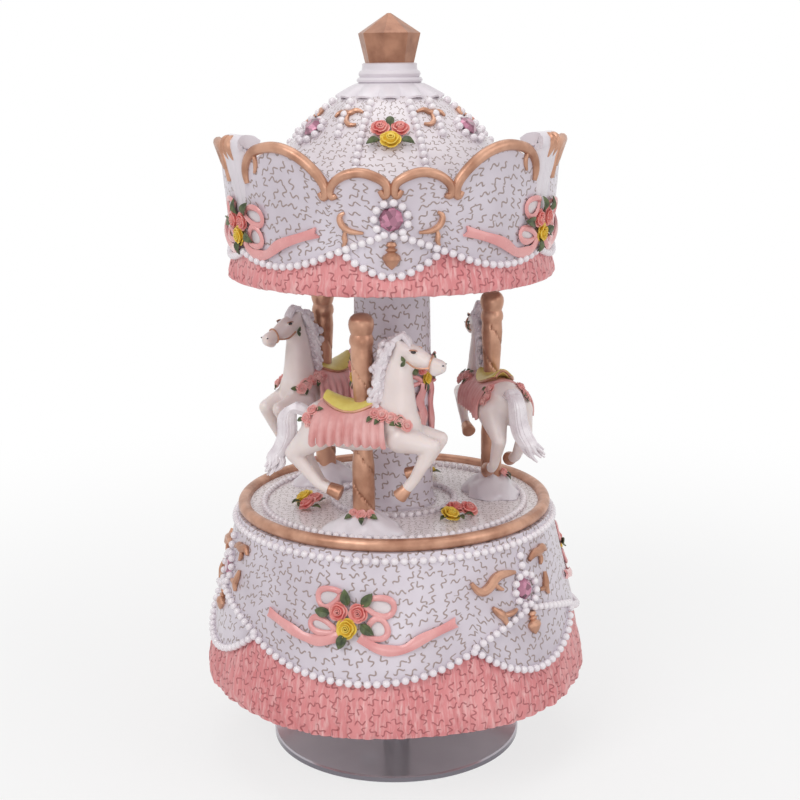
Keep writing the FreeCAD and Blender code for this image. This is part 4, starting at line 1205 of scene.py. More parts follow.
def drop(carrier: Carrier, azimuth: float, height: float, across: float, length: float,
         width: float) -> Piece:
    """Hanging drop with a knop above it, flat against a wall.

    Args:
        carrier: wall that it lies on.
        azimuth: degrees from the front.
        height: height of its middle in mm.
        across: mm along the girth from there.
        length: mm.
        width: mm.

    Returns:
        The drop.
    """
    outline = ((0.22, 0.46), (0.3, 0.36), (0.16, 0.28), (0.34, 0.2), (0.2, 0.12), (0.46, 0.0), (0.5, -0.12),
               (0.3, -0.34))
    profile = [(0.05, length * 0.5), *((width * r, length * z) for r, z in outline), (0.05, -length * 0.5)]
    obj = Bench.outward(Bench.spun("drop", profile, 14, 1.0))
    place = carrier.seat(azimuth, height, across, 0.0, 0.3) @ turned(math.pi / 2, "X").inverted()
    return Bench.moved(obj, place @ Matrix.Diagonal((1.0, 0.65, 1.0, 1.0)))


class Gathers:
    """Irregular folds around a gathered cloth edge."""

    def __init__(self, count: int, seed: int) -> None:
        """Draws the width and the height of each fold.

        Args:
            count: number of folds.
            seed: start of the draw.
        """
        draw = random.Random(seed)
        widths = [draw.uniform(0.6, 1.4) for _ in range(count)]
        total = sum(widths)
        self.ends = [360.0 * sum(widths[:i + 1]) / total for i in range(count)]
        self.heights = [draw.uniform(0.45, 1.0) for _ in range(count)]

    def __call__(self, azimuth: float) -> float:
        """Height of the folds.

        Args:
            azimuth: degrees from the front.

        Returns:
            0 in a crease to 1.
        """
        azimuth %= 360.0
        start = 0.0
        for end, height in zip(self.ends, self.heights):
            if azimuth <= end:
                return height * math.sin(math.pi * (azimuth - start) / (end - start)) ** 0.7
            start = end
        return 0.0


# Sub-assemblies


@dataclass
class Base:
    """Base of the carousel: gathered skirt, pearl-edged drape, deck, bows, and the pearls and scrolls about
    the stones.
    """

    hem: float = 16.6
    rim: float = 53.4
    hang_from: float = 30.0
    turn: float = -14.0
    stone: float = 42.4
    swags: float = -11.7
    swag_half: float = 35.3
    swag_low: float = 27.8
    swag_rise: float = 5.3
    stone_swag_low: float = 25.9
    stone_swag_rise: float = 7.2
    bow: float = 41.6
    skirt_folds: int = 96
    steps: int = 768

    left_tail = ((-1.8, -4.6), (-5.2, -5.9), (-9.0, -5.8), (-13.0, -4.4), (-18.9, -2.6))
    right_tail = ((2.4, -4.4), (6.2, -6.6), (10.8, -6.8), (15.0, -4.6), (21.6, -2.2))
    scrolls = (
        (((-13.4, 4.2), (-12.4, 1.8), (-9.8, 2.2), (-7.6, 4.4), (-5.0, 4.6), (-2.4, 4.2)), 0.95, 0.4),
        (((-8.4, 3.8), (-7.6, 1.9), (-6.2, 1.5)), 0.55, 0.35),
        (((2.6, 5.4), (4.6, 6.6), (6.6, 6.0), (8.6, 7.0), (9.6, 5.6)), 0.9, 0.4),
        (((6.4, 6.0), (7.6, 4.6), (6.4, 3.6)), 0.6, 0.4),
        (((-9.6, -1.6), (-8.4, -3.0), (-7.4, -3.6), (-6.8, -5.8)), 0.8, 0.45),
        (((-7.6, -3.4), (-5.4, -4.2), (-3.6, -3.2)), 0.7, 0.4),
        (((7.6, 1.6), (7.4, -0.4), (6.6, -1.4), (7.6, -3.0)), 0.7, 0.4),
        (((6.8, -1.2), (5.4, -1.8), (4.6, -1.2)), 0.55, 0.35))

    def edge(self, azimuth: float) -> float:
        """Height of the drape's lower edge.

        Args:
            azimuth: degrees from the front.

        Returns:
            Millimetres above the table.
        """
        away = abs(sector(azimuth, self.swags))
        if away < self.swag_half:
            return self.swag_low + self.swag_rise * (away / self.swag_half) ** 2
        return self.stone_swag_low + self.stone_swag_rise * ((60.0 - away) / (60.0 - self.swag_half)) ** 2

    def skirt(self) -> None:
        """Coral skirt that is gathered under the drape, with a wavy hem."""
        folds, creases = Gathers(self.skirt_folds, 3), Gathers(37, 8)
        profile = [(37.3, 18.0), (37.5, 16.9), (40.9, 16.65), (41.35, 16.9), (41.5, 17.8), (41.45, 19.4),
                   (41.15, 21.4), (40.7, 23.6), (40.25, 25.8), (39.85, 27.9), (39.72, 29.6), (39.45, 31.4),
                   (39.1, 33.0), (38.7, 34.6), (38.2, 36.6), (37.3, 36.6)]

        def gather(azimuth: float, radius: float, height: float) -> Pair:
            """Folds that deepen toward the hem and stay under the drape.

            Args:
                azimuth: degrees.
                radius: mm.
                height: mm.

            Returns:
                The new radius and height.
            """
            if radius < 38.6:
                return radius, height
            share = clamp((36.0 - height) / 18.0)
            fold = folds(azimuth + 1.4 * math.sin(height * 0.55 + azimuth * 0.13))
            crease = creases(azimuth - 0.5 * height)
            radius += (0.2 + 0.85 * share) * (fold - 0.25) + 0.4 * share * (crease - 0.4)
            if height < 18.0:
                height += 0.35 * (fold - 0.5) + 0.3 * math.sin(math.radians(azimuth * 5 + 40))
            if height > self.edge(azimuth) - 0.9:
                radius = min(radius, BASE_WALL.radius(height) - 1.0)
            return radius, max(height, self.hem + 0.02)

        piece = Bench.outward(Bench.spun("gathered_skirt", [*profile, profile[0]], self.steps, 40.0, gather))
        settle(Bench.smooth(piece), Paint.CORAL, "coral_resin", "skirt_ruffle")

    def drape(self) -> None:
        """White drape over the skirt, with its scalloped lower edge."""
        rows = 12
        levels = [self.rim - (self.rim - self.hang_from) * i / rows for i in range(rows + 1)]
        profile = [(BASE_WALL.radius(level) - 0.05, level) for level in levels]
        inner = [(radius - 0.75, level) for radius, level in reversed(profile)]
        inner += [(31.7, 52.6), (31.7, 53.45)]

        def hang(azimuth: float, radius: float, height: float) -> Pair:
            """Drape stretched down to its edge.

            Args:
                azimuth: degrees.
                radius: mm.
                height: mm.

            Returns:
                The new radius and height.
            """
            if radius < 33.0:
                return radius, height
            share = (self.rim - height) / (self.rim - self.hang_from)
            level = self.rim - share * (self.rim - self.edge(azimuth))
            depth = BASE_WALL.radius(height) - radius
            return BASE_WALL.radius(level) - depth, level

        piece = Bench.spun("pearl_edged_drape", [*profile, *inner, profile[0]], 360, 37.5, hang)
        settle(Bench.outward(piece), Paint.PEARL_RESIN, "white_resin", "base_shell")

    @staticmethod
    def deck() -> None:
        """Stroked floor that the horses stand on, slightly dished to its edge."""
        profile = [(7.6, 53.8), (7.6, 54.16), (14.0, 54.14), (22.0, 54.1), (29.5, 54.12), (31.2, 54.5),
                   (31.75, 54.5), (31.75, 53.8)]
        piece = Bench.spun("deck_floor", [*profile, profile[0]], 180, 0.0)
        # The deck's paler resin is painted light against the canopy's shade.
        settle(Bench.outward(piece), Paint.DECK, "white_resin")

    def strands(self, trim: Trimmings) -> None:
        """Pearls under the rim, on the deck, along the drape and about the stones.

        Args:
            trim: where the pearls go.
        """
        trim.strand([spot(34.85, a, 51.9) for a in ROUND], closed=True)
        for radius in (28.6, 13.4):
            trim.strand([spot(radius, a, 54.6) for a in ROUND], 0.72, 1.75, closed=True)
        trim.strand([BASE_WALL.at(a, self.edge(a) + 0.3, proud=0.4) for a in ROUND], closed=True)
        for front in FRONTS:
            stone = self.turn + 60.0 + front
            trim.ring(BASE_WALL, stone, self.stone, 3.25, 11)
            trim.strand([BASE_WALL.at(stone, self.stone + 4.9 + k, proud=0.4) for k in range(3)])
            shares = [0.08 * k for k in range(1, 12)]
            for sweep in (-24.9, 30.1):
                line = [(stone + sweep * t, self.stone - 3.8 - 5.5 * t ** 1.2) for t in shares]
                trim.strand([BASE_WALL.at(a, z, proud=0.4) for a, z in line])

    def ornament(self, trim: Trimmings) -> None:
        """Bows under the horses and scrolls about the stones.

        Args:
            trim: where the flowers go.
        """
        bows, bars = Bows("base"), []
        for front in FRONTS:
            bows.tie(Posy(BASE_WALL, self.turn + front, self.bow, self.left_tail, self.right_tail), trim)
            stone = self.turn + 60.0 + front
            bars += [scroll(BASE_WALL, stone, self.stone, *line) for line in self.scrolls]
            bars.append(drop(BASE_WALL, stone, self.stone - 7.0, 0.6, 5.0, 3.6))
        bows.finish()
        settle(Bench.joined("base_scrolls", bars), Paint.BRONZE, "bronze_paint")

    def build(self) -> None:
        """Builds the base."""
        self.skirt()
        self.drape()
        self.deck()
        trim = Trimmings("base")
        self.strands(trim)
        self.ornament(trim)
        trim.finish()


@dataclass
class Canopy:
    """Canopy: crowned wall, bronze edge, fringe, dome, petal collar and centre column."""

    low: float = 108.5
    top: float = 133.0
    small_lobe: float = 20.0
    big_lobe: float = 35.0
    middle_swag: float = 17.0
    stone: float = 119.5
    bow: float = 117.6
    dome_posy: float = 134.0
    fringe_folds: int = 84
    steps: int = 720

    small_bar = ((3.4, 124.9), (2.2, 123.5), (0.9, 124.4), (1.3, 126.2), (4.0, 127.3), (9.0, 128.4),
                 (14.0, 127.9), (17.6, 126.6), (19.4, 124.9), (18.6, 123.2), (17.0, 123.9))
    big_bar = ((22.6, 124.4), (21.4, 123.0), (20.3, 124.5), (21.2, 126.4), (24.5, 128.8), (30.0, 131.4),
               (37.0, 132.8), (44.0, 132.5), (49.5, 131.4), (52.8, 129.2), (53.6, 126.8), (53.0, 125.4))
    hook = ((49.0, 131.6), (47.4, 130.6), (47.2, 128.8), (48.4, 127.6))
    horn_tip = ((36.0, 134.2), (36.9, 134.0), (37.3, 132.8), (36.8, 131.4), (36.1, 129.8))
    horn_reach = ((119.5, 33.3), (122.5, 33.6), (125.5, 34.1), (128.0, 34.8), (130.2, 35.2), (132.2, 35.9),
                  (133.2, 36.0), (133.4, 35.0), (133.2, 33.6), (132.4, 32.4))
    horn_half = ((119.5, 2.4), (125.0, 3.0), (130.0, 3.4), (134.0, 3.7))
    tail = ((1.6, -4.2), (4.4, -6.2), (8.8, -6.2), (14.2, -3.4), (22.6, -0.8))
    wall_scrolls = ((((8.8, 1.2), (9.8, 0.8), (9.7, -0.6), (8.8, -1.8), (7.2, -2.5), (5.2, -2.6)), 0.58),
                    (((8.5, -2.0), (9.0, -3.2), (8.6, -4.4), (9.2, -5.2)), 0.46))
    dome_scrolls = ((((5.4, 3.2), (6.8, 4.2), (8.4, 2.6), (11.2, 3.4), (12.0, 1.8)), 0.5),
                    (((8.6, 2.6), (9.4, 0.8), (8.2, -0.8), (6.8, -0.2)), 0.45))

    def crown(self, azimuth: float) -> float:
        """Height of the wall's upper edge.

        Args:
            azimuth: degrees from the front.

        Returns:
            Millimetres above the table.
        """
        away = abs(sector(azimuth))
        if away < self.small_lobe:
            return 126.05 + 2.0 * math.sin(math.pi * away / self.small_lobe) ** 0.8
        share = min(away - self.small_lobe, self.big_lobe) / self.big_lobe
        lobe = 126.0 + 6.0 * max(0.0, math.sin(math.pi * share)) ** 0.75
        return max(lobe, 130.4 + 0.15 * (away - 50.0)) if away > 44.0 else lobe

    def swag(self, azimuth: float) -> float:
        """Height of the wall's lower edge, where the pearls hang.

        Args:
            azimuth: degrees from the front.

        Returns:
            Millimetres above the table.
        """
        away = abs(sector(azimuth))
        if away < self.middle_swag:
            return 108.2 + 5.1 * (away / self.middle_swag) ** 1.7
        return 109.4 + 3.9 * min(1.0, abs(away - 42.0) / 25.0) ** 2

    def wall(self) -> None:
        """White wall with its floor, between the swags and the crowned edge."""
        rows = 14
        levels = [self.low + (self.top - self.low) * i / rows for i in range(rows + 1)]
        outer = [(VALANCE_WALL.radius(level), level) for level in levels]
        inner = [(r - 2.2, z) for r, z in reversed(outer[7:])]
        seat = 108.6
        profile = [(28.9, 106.0), (28.9, seat), (32.2, seat), (32.5, self.low), *outer, *inner, (29.9, 119.5),
                   (29.9, 109.5), (5.2, 109.5), (5.2, 106.0)]

        def crest(azimuth: float, radius: float, height: float) -> Pair:
            """Wall stretched between its two edges.

            Args:
                azimuth: degrees.
                radius: mm.
                height: mm.

            Returns:
                The new radius and height.
            """
            plain = VALANCE_WALL.radius(height)
            if radius < 30.0 or height > self.low + 0.05 and radius < 32.3 or abs(height - seat) < 0.01:
                return radius, height
            if height > 120.0 or radius > plain - 0.1:
                share = (height - self.low) / (self.top - self.low)
                level = self.swag(azimuth) + share * (self.crown(azimuth) - self.swag(azimuth))
                return VALANCE_WALL.radius(level) + radius - plain, level
            return radius, self.swag(azimuth) if height < self.low + 0.05 else height

        piece = Bench.outward(Bench.spun("canopy_wall", [*profile, profile[0]], self.steps, 34.0, crest))
        settle(piece, Paint.PEARL_RESIN, "white_resin", "canopy_valance")

    def horn(self, azimuth: float) -> Piece:
        """Fluted post that leans out into a horn.

        Args:
            azimuth: degrees from the front.

        Returns:
            The post.
        """
        bend = 5

        def post(across: float, along: float) -> Vector:
            """Surface of the post, rolled inward past its bend.

            Args:
                across: share of the width.
                along: share of the length.

            Returns:
                The point in metres.
            """
            place = along * (len(self.horn_reach) - 1)
            height, radius = walk(self.horn_reach, place)
            side = (across - 0.5) * 2
            flute = 0.22 * math.cos(3.0 * math.pi * side) - 0.9 * side ** 4
            turn = math.degrees(side * lerp(self.horn_half, height) / radius)
            return spot(radius + flute * (1.0 if place < bend else 0.3), azimuth + turn, height)

        return Bench.sheet("horn", 14, 26, post, 2.6)

    def fringe(self) -> None:
        """Coral fringe below the wall, gathered, with a wavy hem."""
        folds, creases = Gathers(self.fringe_folds, 11), Gathers(31, 5)
        profile = [(29.2, 104.7), (33.2, 104.5), (33.75, 104.7), (34.0, 105.3), (34.0, 106.2), (33.8, 107.4),
                   (33.5, 108.8), (33.25, 110.4), (33.15, 112.0), (33.2, 113.6), (32.6, 113.8), (32.3, 109.0),
                   (29.2, 108.5)]

        def gather(azimuth: float, radius: float, height: float) -> Pair:
            """Folds that deepen toward the hem and stay behind the wall.

            Args:
                azimuth: degrees.
                radius: mm.
                height: mm.

            Returns:
                The new radius and height.
            """
            if radius < 32.7:
                return radius, height
            share = clamp((113.0 - height) / 8.0)
            fold = folds(azimuth + 1.2 * math.sin(height * 0.9 + azimuth * 0.2))
            crease = creases(azimuth + 0.8 * height)
            radius += (0.1 + 0.7 * share) * (fold - 0.2) + 0.35 * share * (crease - 0.4)
            if height > self.swag(azimuth) - 0.6:
                radius = min(radius, VALANCE_WALL.radius(height) - 0.3)
            return radius, height + (0.4 * (fold - 0.6) if height < 105.0 else 0.0)

        piece = Bench.outward(Bench.spun("gathered_fringe", [*profile, profile[0]], self.steps, 34.0, gather))
        settle(Bench.smooth(piece), Paint.CORAL, "coral_resin", "canopy_fringe")

    def edging(self) -> None:
        """Bronze bars along the crowned edge, curled at their ends, and on the tips of the horns."""
        bars = []
        for front in FRONTS:
            for side in (-1, 1):
                for line, thick, thin in ((self.small_bar, 0.95, 0.5), (self.big_bar, 1.1, 0.55),
                                          (self.hook, 0.55, 0.3)):
                    points = [VALANCE_WALL.at(front + side * a, z, proud=0.1) for a, z in line]
                    last = len(line) - 1
                    swell = [math.sin(math.pi * i / last) ** 0.6 for i in range(last + 1)]
                    radii = [thin + (thick - thin) * share for share in swell]
                    bars.append(Bench.tube("bar", points, radii, sides=4))
        for corner in CORNERS:
            for side in (-1, 1):
                points = [spot(r, corner + 1.5 * side, z) for r, z in self.horn_tip]
                bars.append(Bench.tube("bar", points, [0.4, 0.75, 0.95, 0.8, 0.3]))
        settle(Bench.joined("crown_edging", bars), Paint.BRONZE, "bronze_paint", "valance_trim")

    @staticmethod
    def dome() -> None:
        """Round dome under the petal collar."""
        outer = [(r, z) for z, r in DOME_WALL.profile if 120.0 < z < 142.0]
        smooth = []
        for (ra, za), (rb, zb) in zip(outer, outer[1:]):
            smooth += [(ra + (rb - ra) * t, za + (zb - za) * t) for t in (0.0, 0.5)]
        inner = [(r - 1.6, z - 1.5) for r, z in reversed(smooth[1:-1])]
        profile = [(30.2, 119.5), (31.8, 119.5), *smooth, (10.2, 141.5), (4.0, 141.6), (4.0, 140.0), *inner]
        piece = Bench.outward(Bench.spun("dome", [*profile, profile[0]], 240, 22.0))
        settle(piece, Paint.DOME, "white_resin", "canopy_dome")

    @staticmethod
    def collar() -> None:
        """Petal collar with the turned neck above it."""
        profile = [(4.2, 141.7), (9.6, 141.45), (11.25, 141.1), (11.35, 141.5), (10.6, 142.0), (9.6, 142.6),
                   (8.4, 143.3), (7.2, 143.9), (6.35, 144.1), (6.75, 144.3), (6.85, 144.7), (6.6, 145.1),
                   (6.1, 145.25), (6.3, 145.5), (6.45, 145.9), (6.2, 146.4), (5.75, 146.7), (5.65, 147.4),
                   (5.7, 147.9), (5.2, 148.1), (3.0, 148.1)]

        def petals(azimuth: float, radius: float, height: float) -> Pair:
            """Twelve petals that open toward the edge.

            Args:
                azimuth: degrees.
                radius: mm.
                height: mm.

            Returns:
                The new radius and height.
            """
            share = clamp((radius - 6.9) / 4.4) if height < 144.0 else 0.0
            wave = abs(math.cos(math.radians(azimuth * 6.0)))
            return radius - 1.3 * share * (1 - wave), height + share * (0.8 * wave - 0.62)

        piece = Bench.capped(Bench.outward(Bench.spun("petal_collar_dressed", profile, 288, 8.0, petals)))
        settle(Bench.smooth(piece), Paint.PLAIN_PEARL, "white_resin", "petal_collar")

    @staticmethod
    def column() -> None:
        """Stroked centre column with a low foot and head, and the posies on it."""
        profile = [(5.2, 54.0), (9.4, 54.05), (9.4, 54.7), (8.9, 55.2), (8.62, 56.0), (8.5, 66.0),
                   (8.4, 76.0), (8.3, 86.0), (8.2, 96.0), (8.1, 104.0), (8.5, 105.4), (8.5, 106.0),
                   (5.2, 106.0)]
        piece = Bench.outward(Bench.spun("stroked_column", [*profile, profile[0]], 96, 8.4))
        settle(piece, Paint.PEARL_RESIN, "white_resin", "centre_column")
        bows, trim = Bows("column"), Trimmings("column")
        left = ((-1.2, -4.5), (-2.8, -9.0), (-2.0, -14.0), (-3.4, -20.0))
        right = ((1.6, -4.5), (3.2, -9.0), (2.4, -15.0), (3.8, -22.0))
        for front in FRONTS:
            bows.tie(Posy(COLUMN_WALL, front + 55.0, 84.6, left, right, 0.7, 3.2), trim)
        bows.finish()
        trim.finish()

    def strands(self, trim: Trimmings) -> None:
        """Pearls along the swags, down the dome and about the stones.

        Args:
            trim: where the pearls go.
        """
        trim.strand([VALANCE_WALL.at(a, self.swag(a) + 0.2, proud=0.35) for a in ROUND], closed=True)
        festoon = ((4.0, 116.0), (8.0, 115.2), (12.0, 114.4), (14.5, 113.8))
        for front in FRONTS:
            corner = front + 60.0
            trim.ring(VALANCE_WALL, front, self.stone, 3.2, 11)
            trim.ring(DOME_WALL, corner, 134.6, 3.0, 10)
            for side in (-1, 1):
                trim.strand([VALANCE_WALL.at(front + side * a, z, proud=0.35) for a, z in festoon])
                trim.strand([DOME_WALL.at(front + side * (18.6 - 3.0 * t), 140.0 - 12.2 * t, proud=0.4)
                             for t in (0.0, 0.25, 0.5, 0.75, 1.0)])
                trim.strand([DOME_WALL.at(corner + side * (19.0 + 8.0 * t), 140.2 - 6.0 * t, proud=0.4)
                             for t in (0.0, 0.5, 1.0)])

    def ornament(self, trim: Trimmings) -> None:
        """Bows at the corners, scrolls on the wall and the dome, roses on the dome.

        Args:
            trim: where the flowers go.
        """
        bows, bars = Bows("canopy"), []
        mirrored = [(-x, y) for x, y in self.tail]
        roses = ((Paint.ROSE, -1.9, 1.4, 2.0), (Paint.ROSE, 1.9, 1.3, 1.9),
                 (Paint.YELLOW_ROSE, 0.0, -1.8, 2.2))
        for front in FRONTS:
            bows.tie(Posy(VALANCE_WALL, front + 60.0, self.bow, mirrored, self.tail, 0.95), trim)
            for side in (-1, 1):
                for carrier, height, lines in ((VALANCE_WALL, self.stone, self.wall_scrolls),
                                               (DOME_WALL, 136.2, self.dome_scrolls)):
                    bars += [scroll(carrier, front, height, [(side * x, y) for x, y in line], thick, 0.3)
                             for line, thick in lines]
            bars.append(drop(VALANCE_WALL, front, 112.6, 0.0, 5.5, 3.6))
            for paint, across, up, size in roses:
                seat = DOME_WALL.seat(front, self.dome_posy, across, up, 0.45, 40 * across, size)
                trim.bloom(paint, seat)
            for across, up, spin in ((0.0, 2.0, 0), (-2.0, -1.6, 110), (2.0, -1.6, -110)):
                trim.leaves.append(DOME_WALL.seat(front, self.dome_posy, across, up, 0.4, spin, 2.8))
        bows.finish()
        settle(Bench.joined("canopy_scrolls", bars), Paint.BRONZE, "bronze_paint")

    def build(self) -> None:
        """Builds the canopy."""
        self.wall()
        posts = Bench.joined("corner_horns", [self.horn(corner) for corner in CORNERS])
        settle(posts, Paint.PLAIN_PEARL, "white_resin")
        self.edging()
        self.fringe()
        self.dome()
        self.collar()
        self.column()
        trim = Trimmings("canopy")
        self.strands(trim)
        self.ornament(trim)
        trim.finish()


@dataclass
class Herd:
    """Three prancing horses on twisted poles, with their mounds and the flowers on the deck."""

    circle: float = 22.5
    deck: float = 54.0
    flower_circle: float = 18.8
    turns: tuple[float, float, float] = (-16.0, 104.0, 224.0)
    voxel: float = 0.36
    back: float = 22.0

    flesh = ((-1.0, 21.7, 9.6, 4.6, 4.5), (7.4, 22.8, 4.9, 4.3, 5.0), (-8.0, 22.4, 5.0, 4.8, 4.9),
             (9.6, 36.4, 2.1, 1.8, 2.4), (16.1, 35.2, 1.55, 1.3, 1.4), (15.2, 34.2, 1.2, 1.0, 0.85))
    neck = ((7.4, 25.0, 4.3), (7.6, 29.5, 3.4), (7.7, 34.0, 2.8), (8.3, 37.2, 2.35))
    head = ((8.4, 38.3, 2.25), (11.2, 37.3, 2.1), (14.0, 36.0, 1.55), (16.2, 35.5, 1.35))
    legs = ((((-9.0, 20.8, 3.5), (-14.2, 16.6, 1.7), (-8.6, 10.2, 1.1), (-6.6, 9.4, 1.2)), -2.9),
            (((-9.0, 20.6, 3.4), (-13.9, 15.6, 1.6), (-10.2, 9.2, 1.1), (-8.4, 8.0, 1.2)), 2.7),
            (((8.6, 20.8, 3.0), (15.2, 19.6, 1.7), (11.5, 12.6, 1.15), (9.9, 10.6, 1.2)), -2.5),
            (((8.6, 20.6, 2.9), (15.7, 20.0, 1.55), (12.8, 14.6, 1.05), (11.2, 13.2, 1.1)), 2.5))
    crest = ((7.6, 40.9), (5.9, 39.2), (4.9, 36.6), (4.4, 33.6), (4.2, 30.6), (3.9, 27.9))
    wide = ((-12.0, 3.6), (-8.0, 4.85), (-1.0, 4.65), (6.0, 4.6), (11.0, 3.4))
    tall = ((-12.0, 3.6), (-8.0, 4.9), (-1.0, 4.6), (6.0, 5.0), (11.0, 4.4))
    garland_roses = ((3.8, 46, 0.95), (5.4, 50, 1.15), (7.2, 54, 1.05), (8.8, 60, 1.15), (10.2, 68, 1.05),
                     (-9.4, 42, 1.05), (-10.4, 60, 1.0), (-9.6, 76, 0.95))

    def places(self) -> list[Matrix]:
        """Where each horse stands: local X forward, -Y outward, Z up from the deck."""
        return [Matrix.Translation(spot(self.circle, turn, self.deck))
                @ turned(math.radians(turn)) for turn in self.turns]

    @staticmethod
    def chain(joints: Sequence[Point], side: float) -> list[Piece]:
        """Tapered bars through joints.

        Args:
            joints: mm forward and up, and the radius there.
            side: mm to one side.

        Returns:
            The bars as mesh objects.
        """
        bars = []
        for (x, z, radius), (end_x, end_z, end_radius) in zip(joints, joints[1:]):
            start, end = Vector((x, side, z)) * MM, Vector((end_x, side, end_z)) * MM
            bars += Bench.bone(start, end, radius, end_radius)
        return bars

    def body(self) -> Piece:
        """Smooth body, neck, head and legs as one skin.

        Returns:
            The skin.
        """
        parts = [Bench.ball(1.0, Vector((x, 0, z)) * MM, stretch) for x, z, *stretch in self.flesh]
        for joints, narrow in ((self.neck, 0.8), (self.head, 0.86)):
            bars = self.chain(joints, 0.0)
            for bar in bars:
                for vertex in bar.data.vertices:
                    vertex.co.y *= narrow
            parts += bars
        for joints, side in self.legs:
            parts += self.chain(joints, side)
        for side in (-1, 1):
            ear = Vector((7.9, side * 1.0, 39.4)) * MM
            parts += Bench.bone(ear, Vector((7.6, side * 1.35, 42.0)) * MM, 0.75, 0.22)
            parts.append(Bench.ball(0.62, Vector((11.3, side * 1.72, 38.4)) * MM, (1.3, 0.6, 0.7)))
            parts.append(Bench.ball(0.42, Vector((16.9, side * 0.85, 35.9)) * MM, (1.2, 0.7, 0.9)))
        horse = Bench.joined("horse", parts)
        Bench.apply(horse, "REMESH", mode="VOXEL", voxel_size=self.voxel * MM)
        Bench.apply(horse, "SMOOTH", factor=0.6, iterations=7)
        Bench.apply(horse, "DECIMATE", ratio=0.6)
        return Bench.smooth(Bench.outward(horse), 80.0)

    def mane(self, draw: random.Random) -> list[Piece]:
        """Curled locks that fall to both sides of the crest.

        Args:
            draw: source of their lengths and sway.

        Returns:
            The locks as mesh objects.
        """
        count, locks = 22, []
        for side in (-1.0, 1.0):
            for i in range(count):
                x, z = walk(self.crest, i / (count - 1.0) * (len(self.crest) - 1))
                long = draw.uniform(2.6, 4.0)
                sway = draw.uniform(-0.5, 0.5)
                points, radii = [], []
                for t in (step / 6 for step in range(7)):
                    curl = 0.75 * math.sin(8.5 * t + sway * 5)
                    points.append(Vector((x + 0.6 - 1.9 * t + curl * 0.8,
                                          side * (0.2 + 1.9 * math.sin(1.7 * t) + 0.3 * sway),
                                          z - long * t * t + 0.5 * curl + 0.3)) * MM)
                    radii.append(0.72 - 0.34 * t)
                locks.append(Bench.tube("lock", points, radii, sides=2))
        return locks

    def curls(self, draw: random.Random) -> list[Piece]:
        """Small curls between the locks of the mane.

        Args:
            draw: source of their places and sizes.

        Returns:
            The curls as mesh objects.
        """
        curls = []
        for _ in range(64):
            x, z = walk(self.crest, draw.uniform(0.3, len(self.crest) - 1.0))
            x -= draw.uniform(0.0, 2.3)
            y = draw.uniform(-1.8, 1.8)
            z += draw.uniform(-1.0, 0.3)
            radius = draw.uniform(0.55, 0.95)
            curls.append(Bench.smooth(Bench.ball(radius, Vector((x, y, z)) * MM, rings=5), 80.0))
        return curls

    @staticmethod
    def forelock(draw: random.Random) -> list[Piece]:
        """Locks that fall over the brow.

        Args:
            draw: source of their sway.

        Returns:
            The locks as mesh objects.
        """
        locks = []
        for i in range(7):
            lift = 40.8 - 0.3 * draw.uniform(-1.0, 1.0)
            line = ((7.4, 41.2), (8.4, 41.7), (9.6, lift), (10.4, 39.4), (10.1, 38.6))
            points = [Vector((x, (i - 3) * 0.32 * (0.5 + j * 0.12), z)) * MM for j, (x, z) in enumerate(line)]
            locks.append(Bench.tube("lock", points, [0.5, 0.6, 0.5, 0.4, 0.22], sides=2))
        return locks

    @staticmethod
    def tail(draw: random.Random) -> list[Piece]:
        """Combed locks of the tail.

        Args:
            draw: source of their ends.

        Returns:
            The locks as mesh objects.
        """
        locks = []
        for i in range(13):
            out, wide = 1.25 * math.cos(i * 2.4), 1.5 * math.sin(i * 2.4)
            end = draw.uniform(-1.6, 1.2)
            line = ((-11.4, 24.2), (-14.2, 26.2 + 0.4 * out), (-16.4 + out, 23.8), (-15.8 + out, 20.2),
                    (-16.9 + out, 17.0), (-18.4 + out, 15.4), (-17.4 + out * 1.3, 14.2 + end),
                    (-18.4 + out, 13.2 + end))
            points = [Vector((x, wide * min(1.0, 0.35 + j * 0.16) - 4.5 * (j / 7) ** 2, z)) * MM
                      for j, (x, z) in enumerate(line)]
            locks.append(Bench.tube("lock", points, [0.9, 1.0, 0.9, 0.85, 0.8, 0.7, 0.5, 0.2], sides=2))
        return locks

    def hair(self) -> Piece:
        """Curled mane, forelock and combed tail.

        Returns:
            The hair.
        """
        draw = random.Random(21)
        locks = self.mane(draw) + self.curls(draw) + self.forelock(draw) + self.tail(draw)
        return Bench.joined("hair", locks)

    def wrap(self, forward: float, angle: float, swell: float = 0.0) -> Vector:
        """Point on the horse's back and flanks.

        Args:
            forward: mm.
            angle: degrees from the top.
            swell: mm proud.

        Returns:
            The point in metres.
        """
        wide = lerp(self.wide, forward) + swell
        tall = lerp(self.tall, forward) + swell
        turn = math.radians(angle)
        return Vector((forward, wide * math.sin(turn), self.back + tall * math.cos(turn))) * MM

    def saddle(self) -> tuple[Piece, Piece]:
        """Curved saddle.

        Returns:
            The saddle, and the bronze piping along its edge.
        """
        def seat(across: float, along: float) -> Vector:
            """Surface of the saddle, raised at both ends.

            Args:
                across: share of the width.
                along: share of the length.

            Returns:
                The point in metres.
            """
            spread = 9.0 + 33.0 * math.sin(math.pi * clamp(0.04 + 0.92 * along)) ** 0.7
            rise = 1.3 * abs(2 * along - 1.1) ** 2.2
            point = self.wrap(-7.6 + 11.0 * along, (across - 0.5) * 2 * spread, 0.75)
            return point + Vector((0, 0, rise * math.cos((across - 0.5) * 2.4))) * MM

        leather = Bench.sheet("saddle", 16, 20, seat, 0.9)
        edges = [[seat(across, i / 16) for i in range(17)] for across in (0.0, 1.0)]
        edges += [[seat(i / 10, along) for i in range(11)] for along in (0.0, 1.0)]
        bars = [Bench.tube("piping", edge, [0.34], sides=2) for edge in edges]
        return leather, Bench.joined("piping", bars)

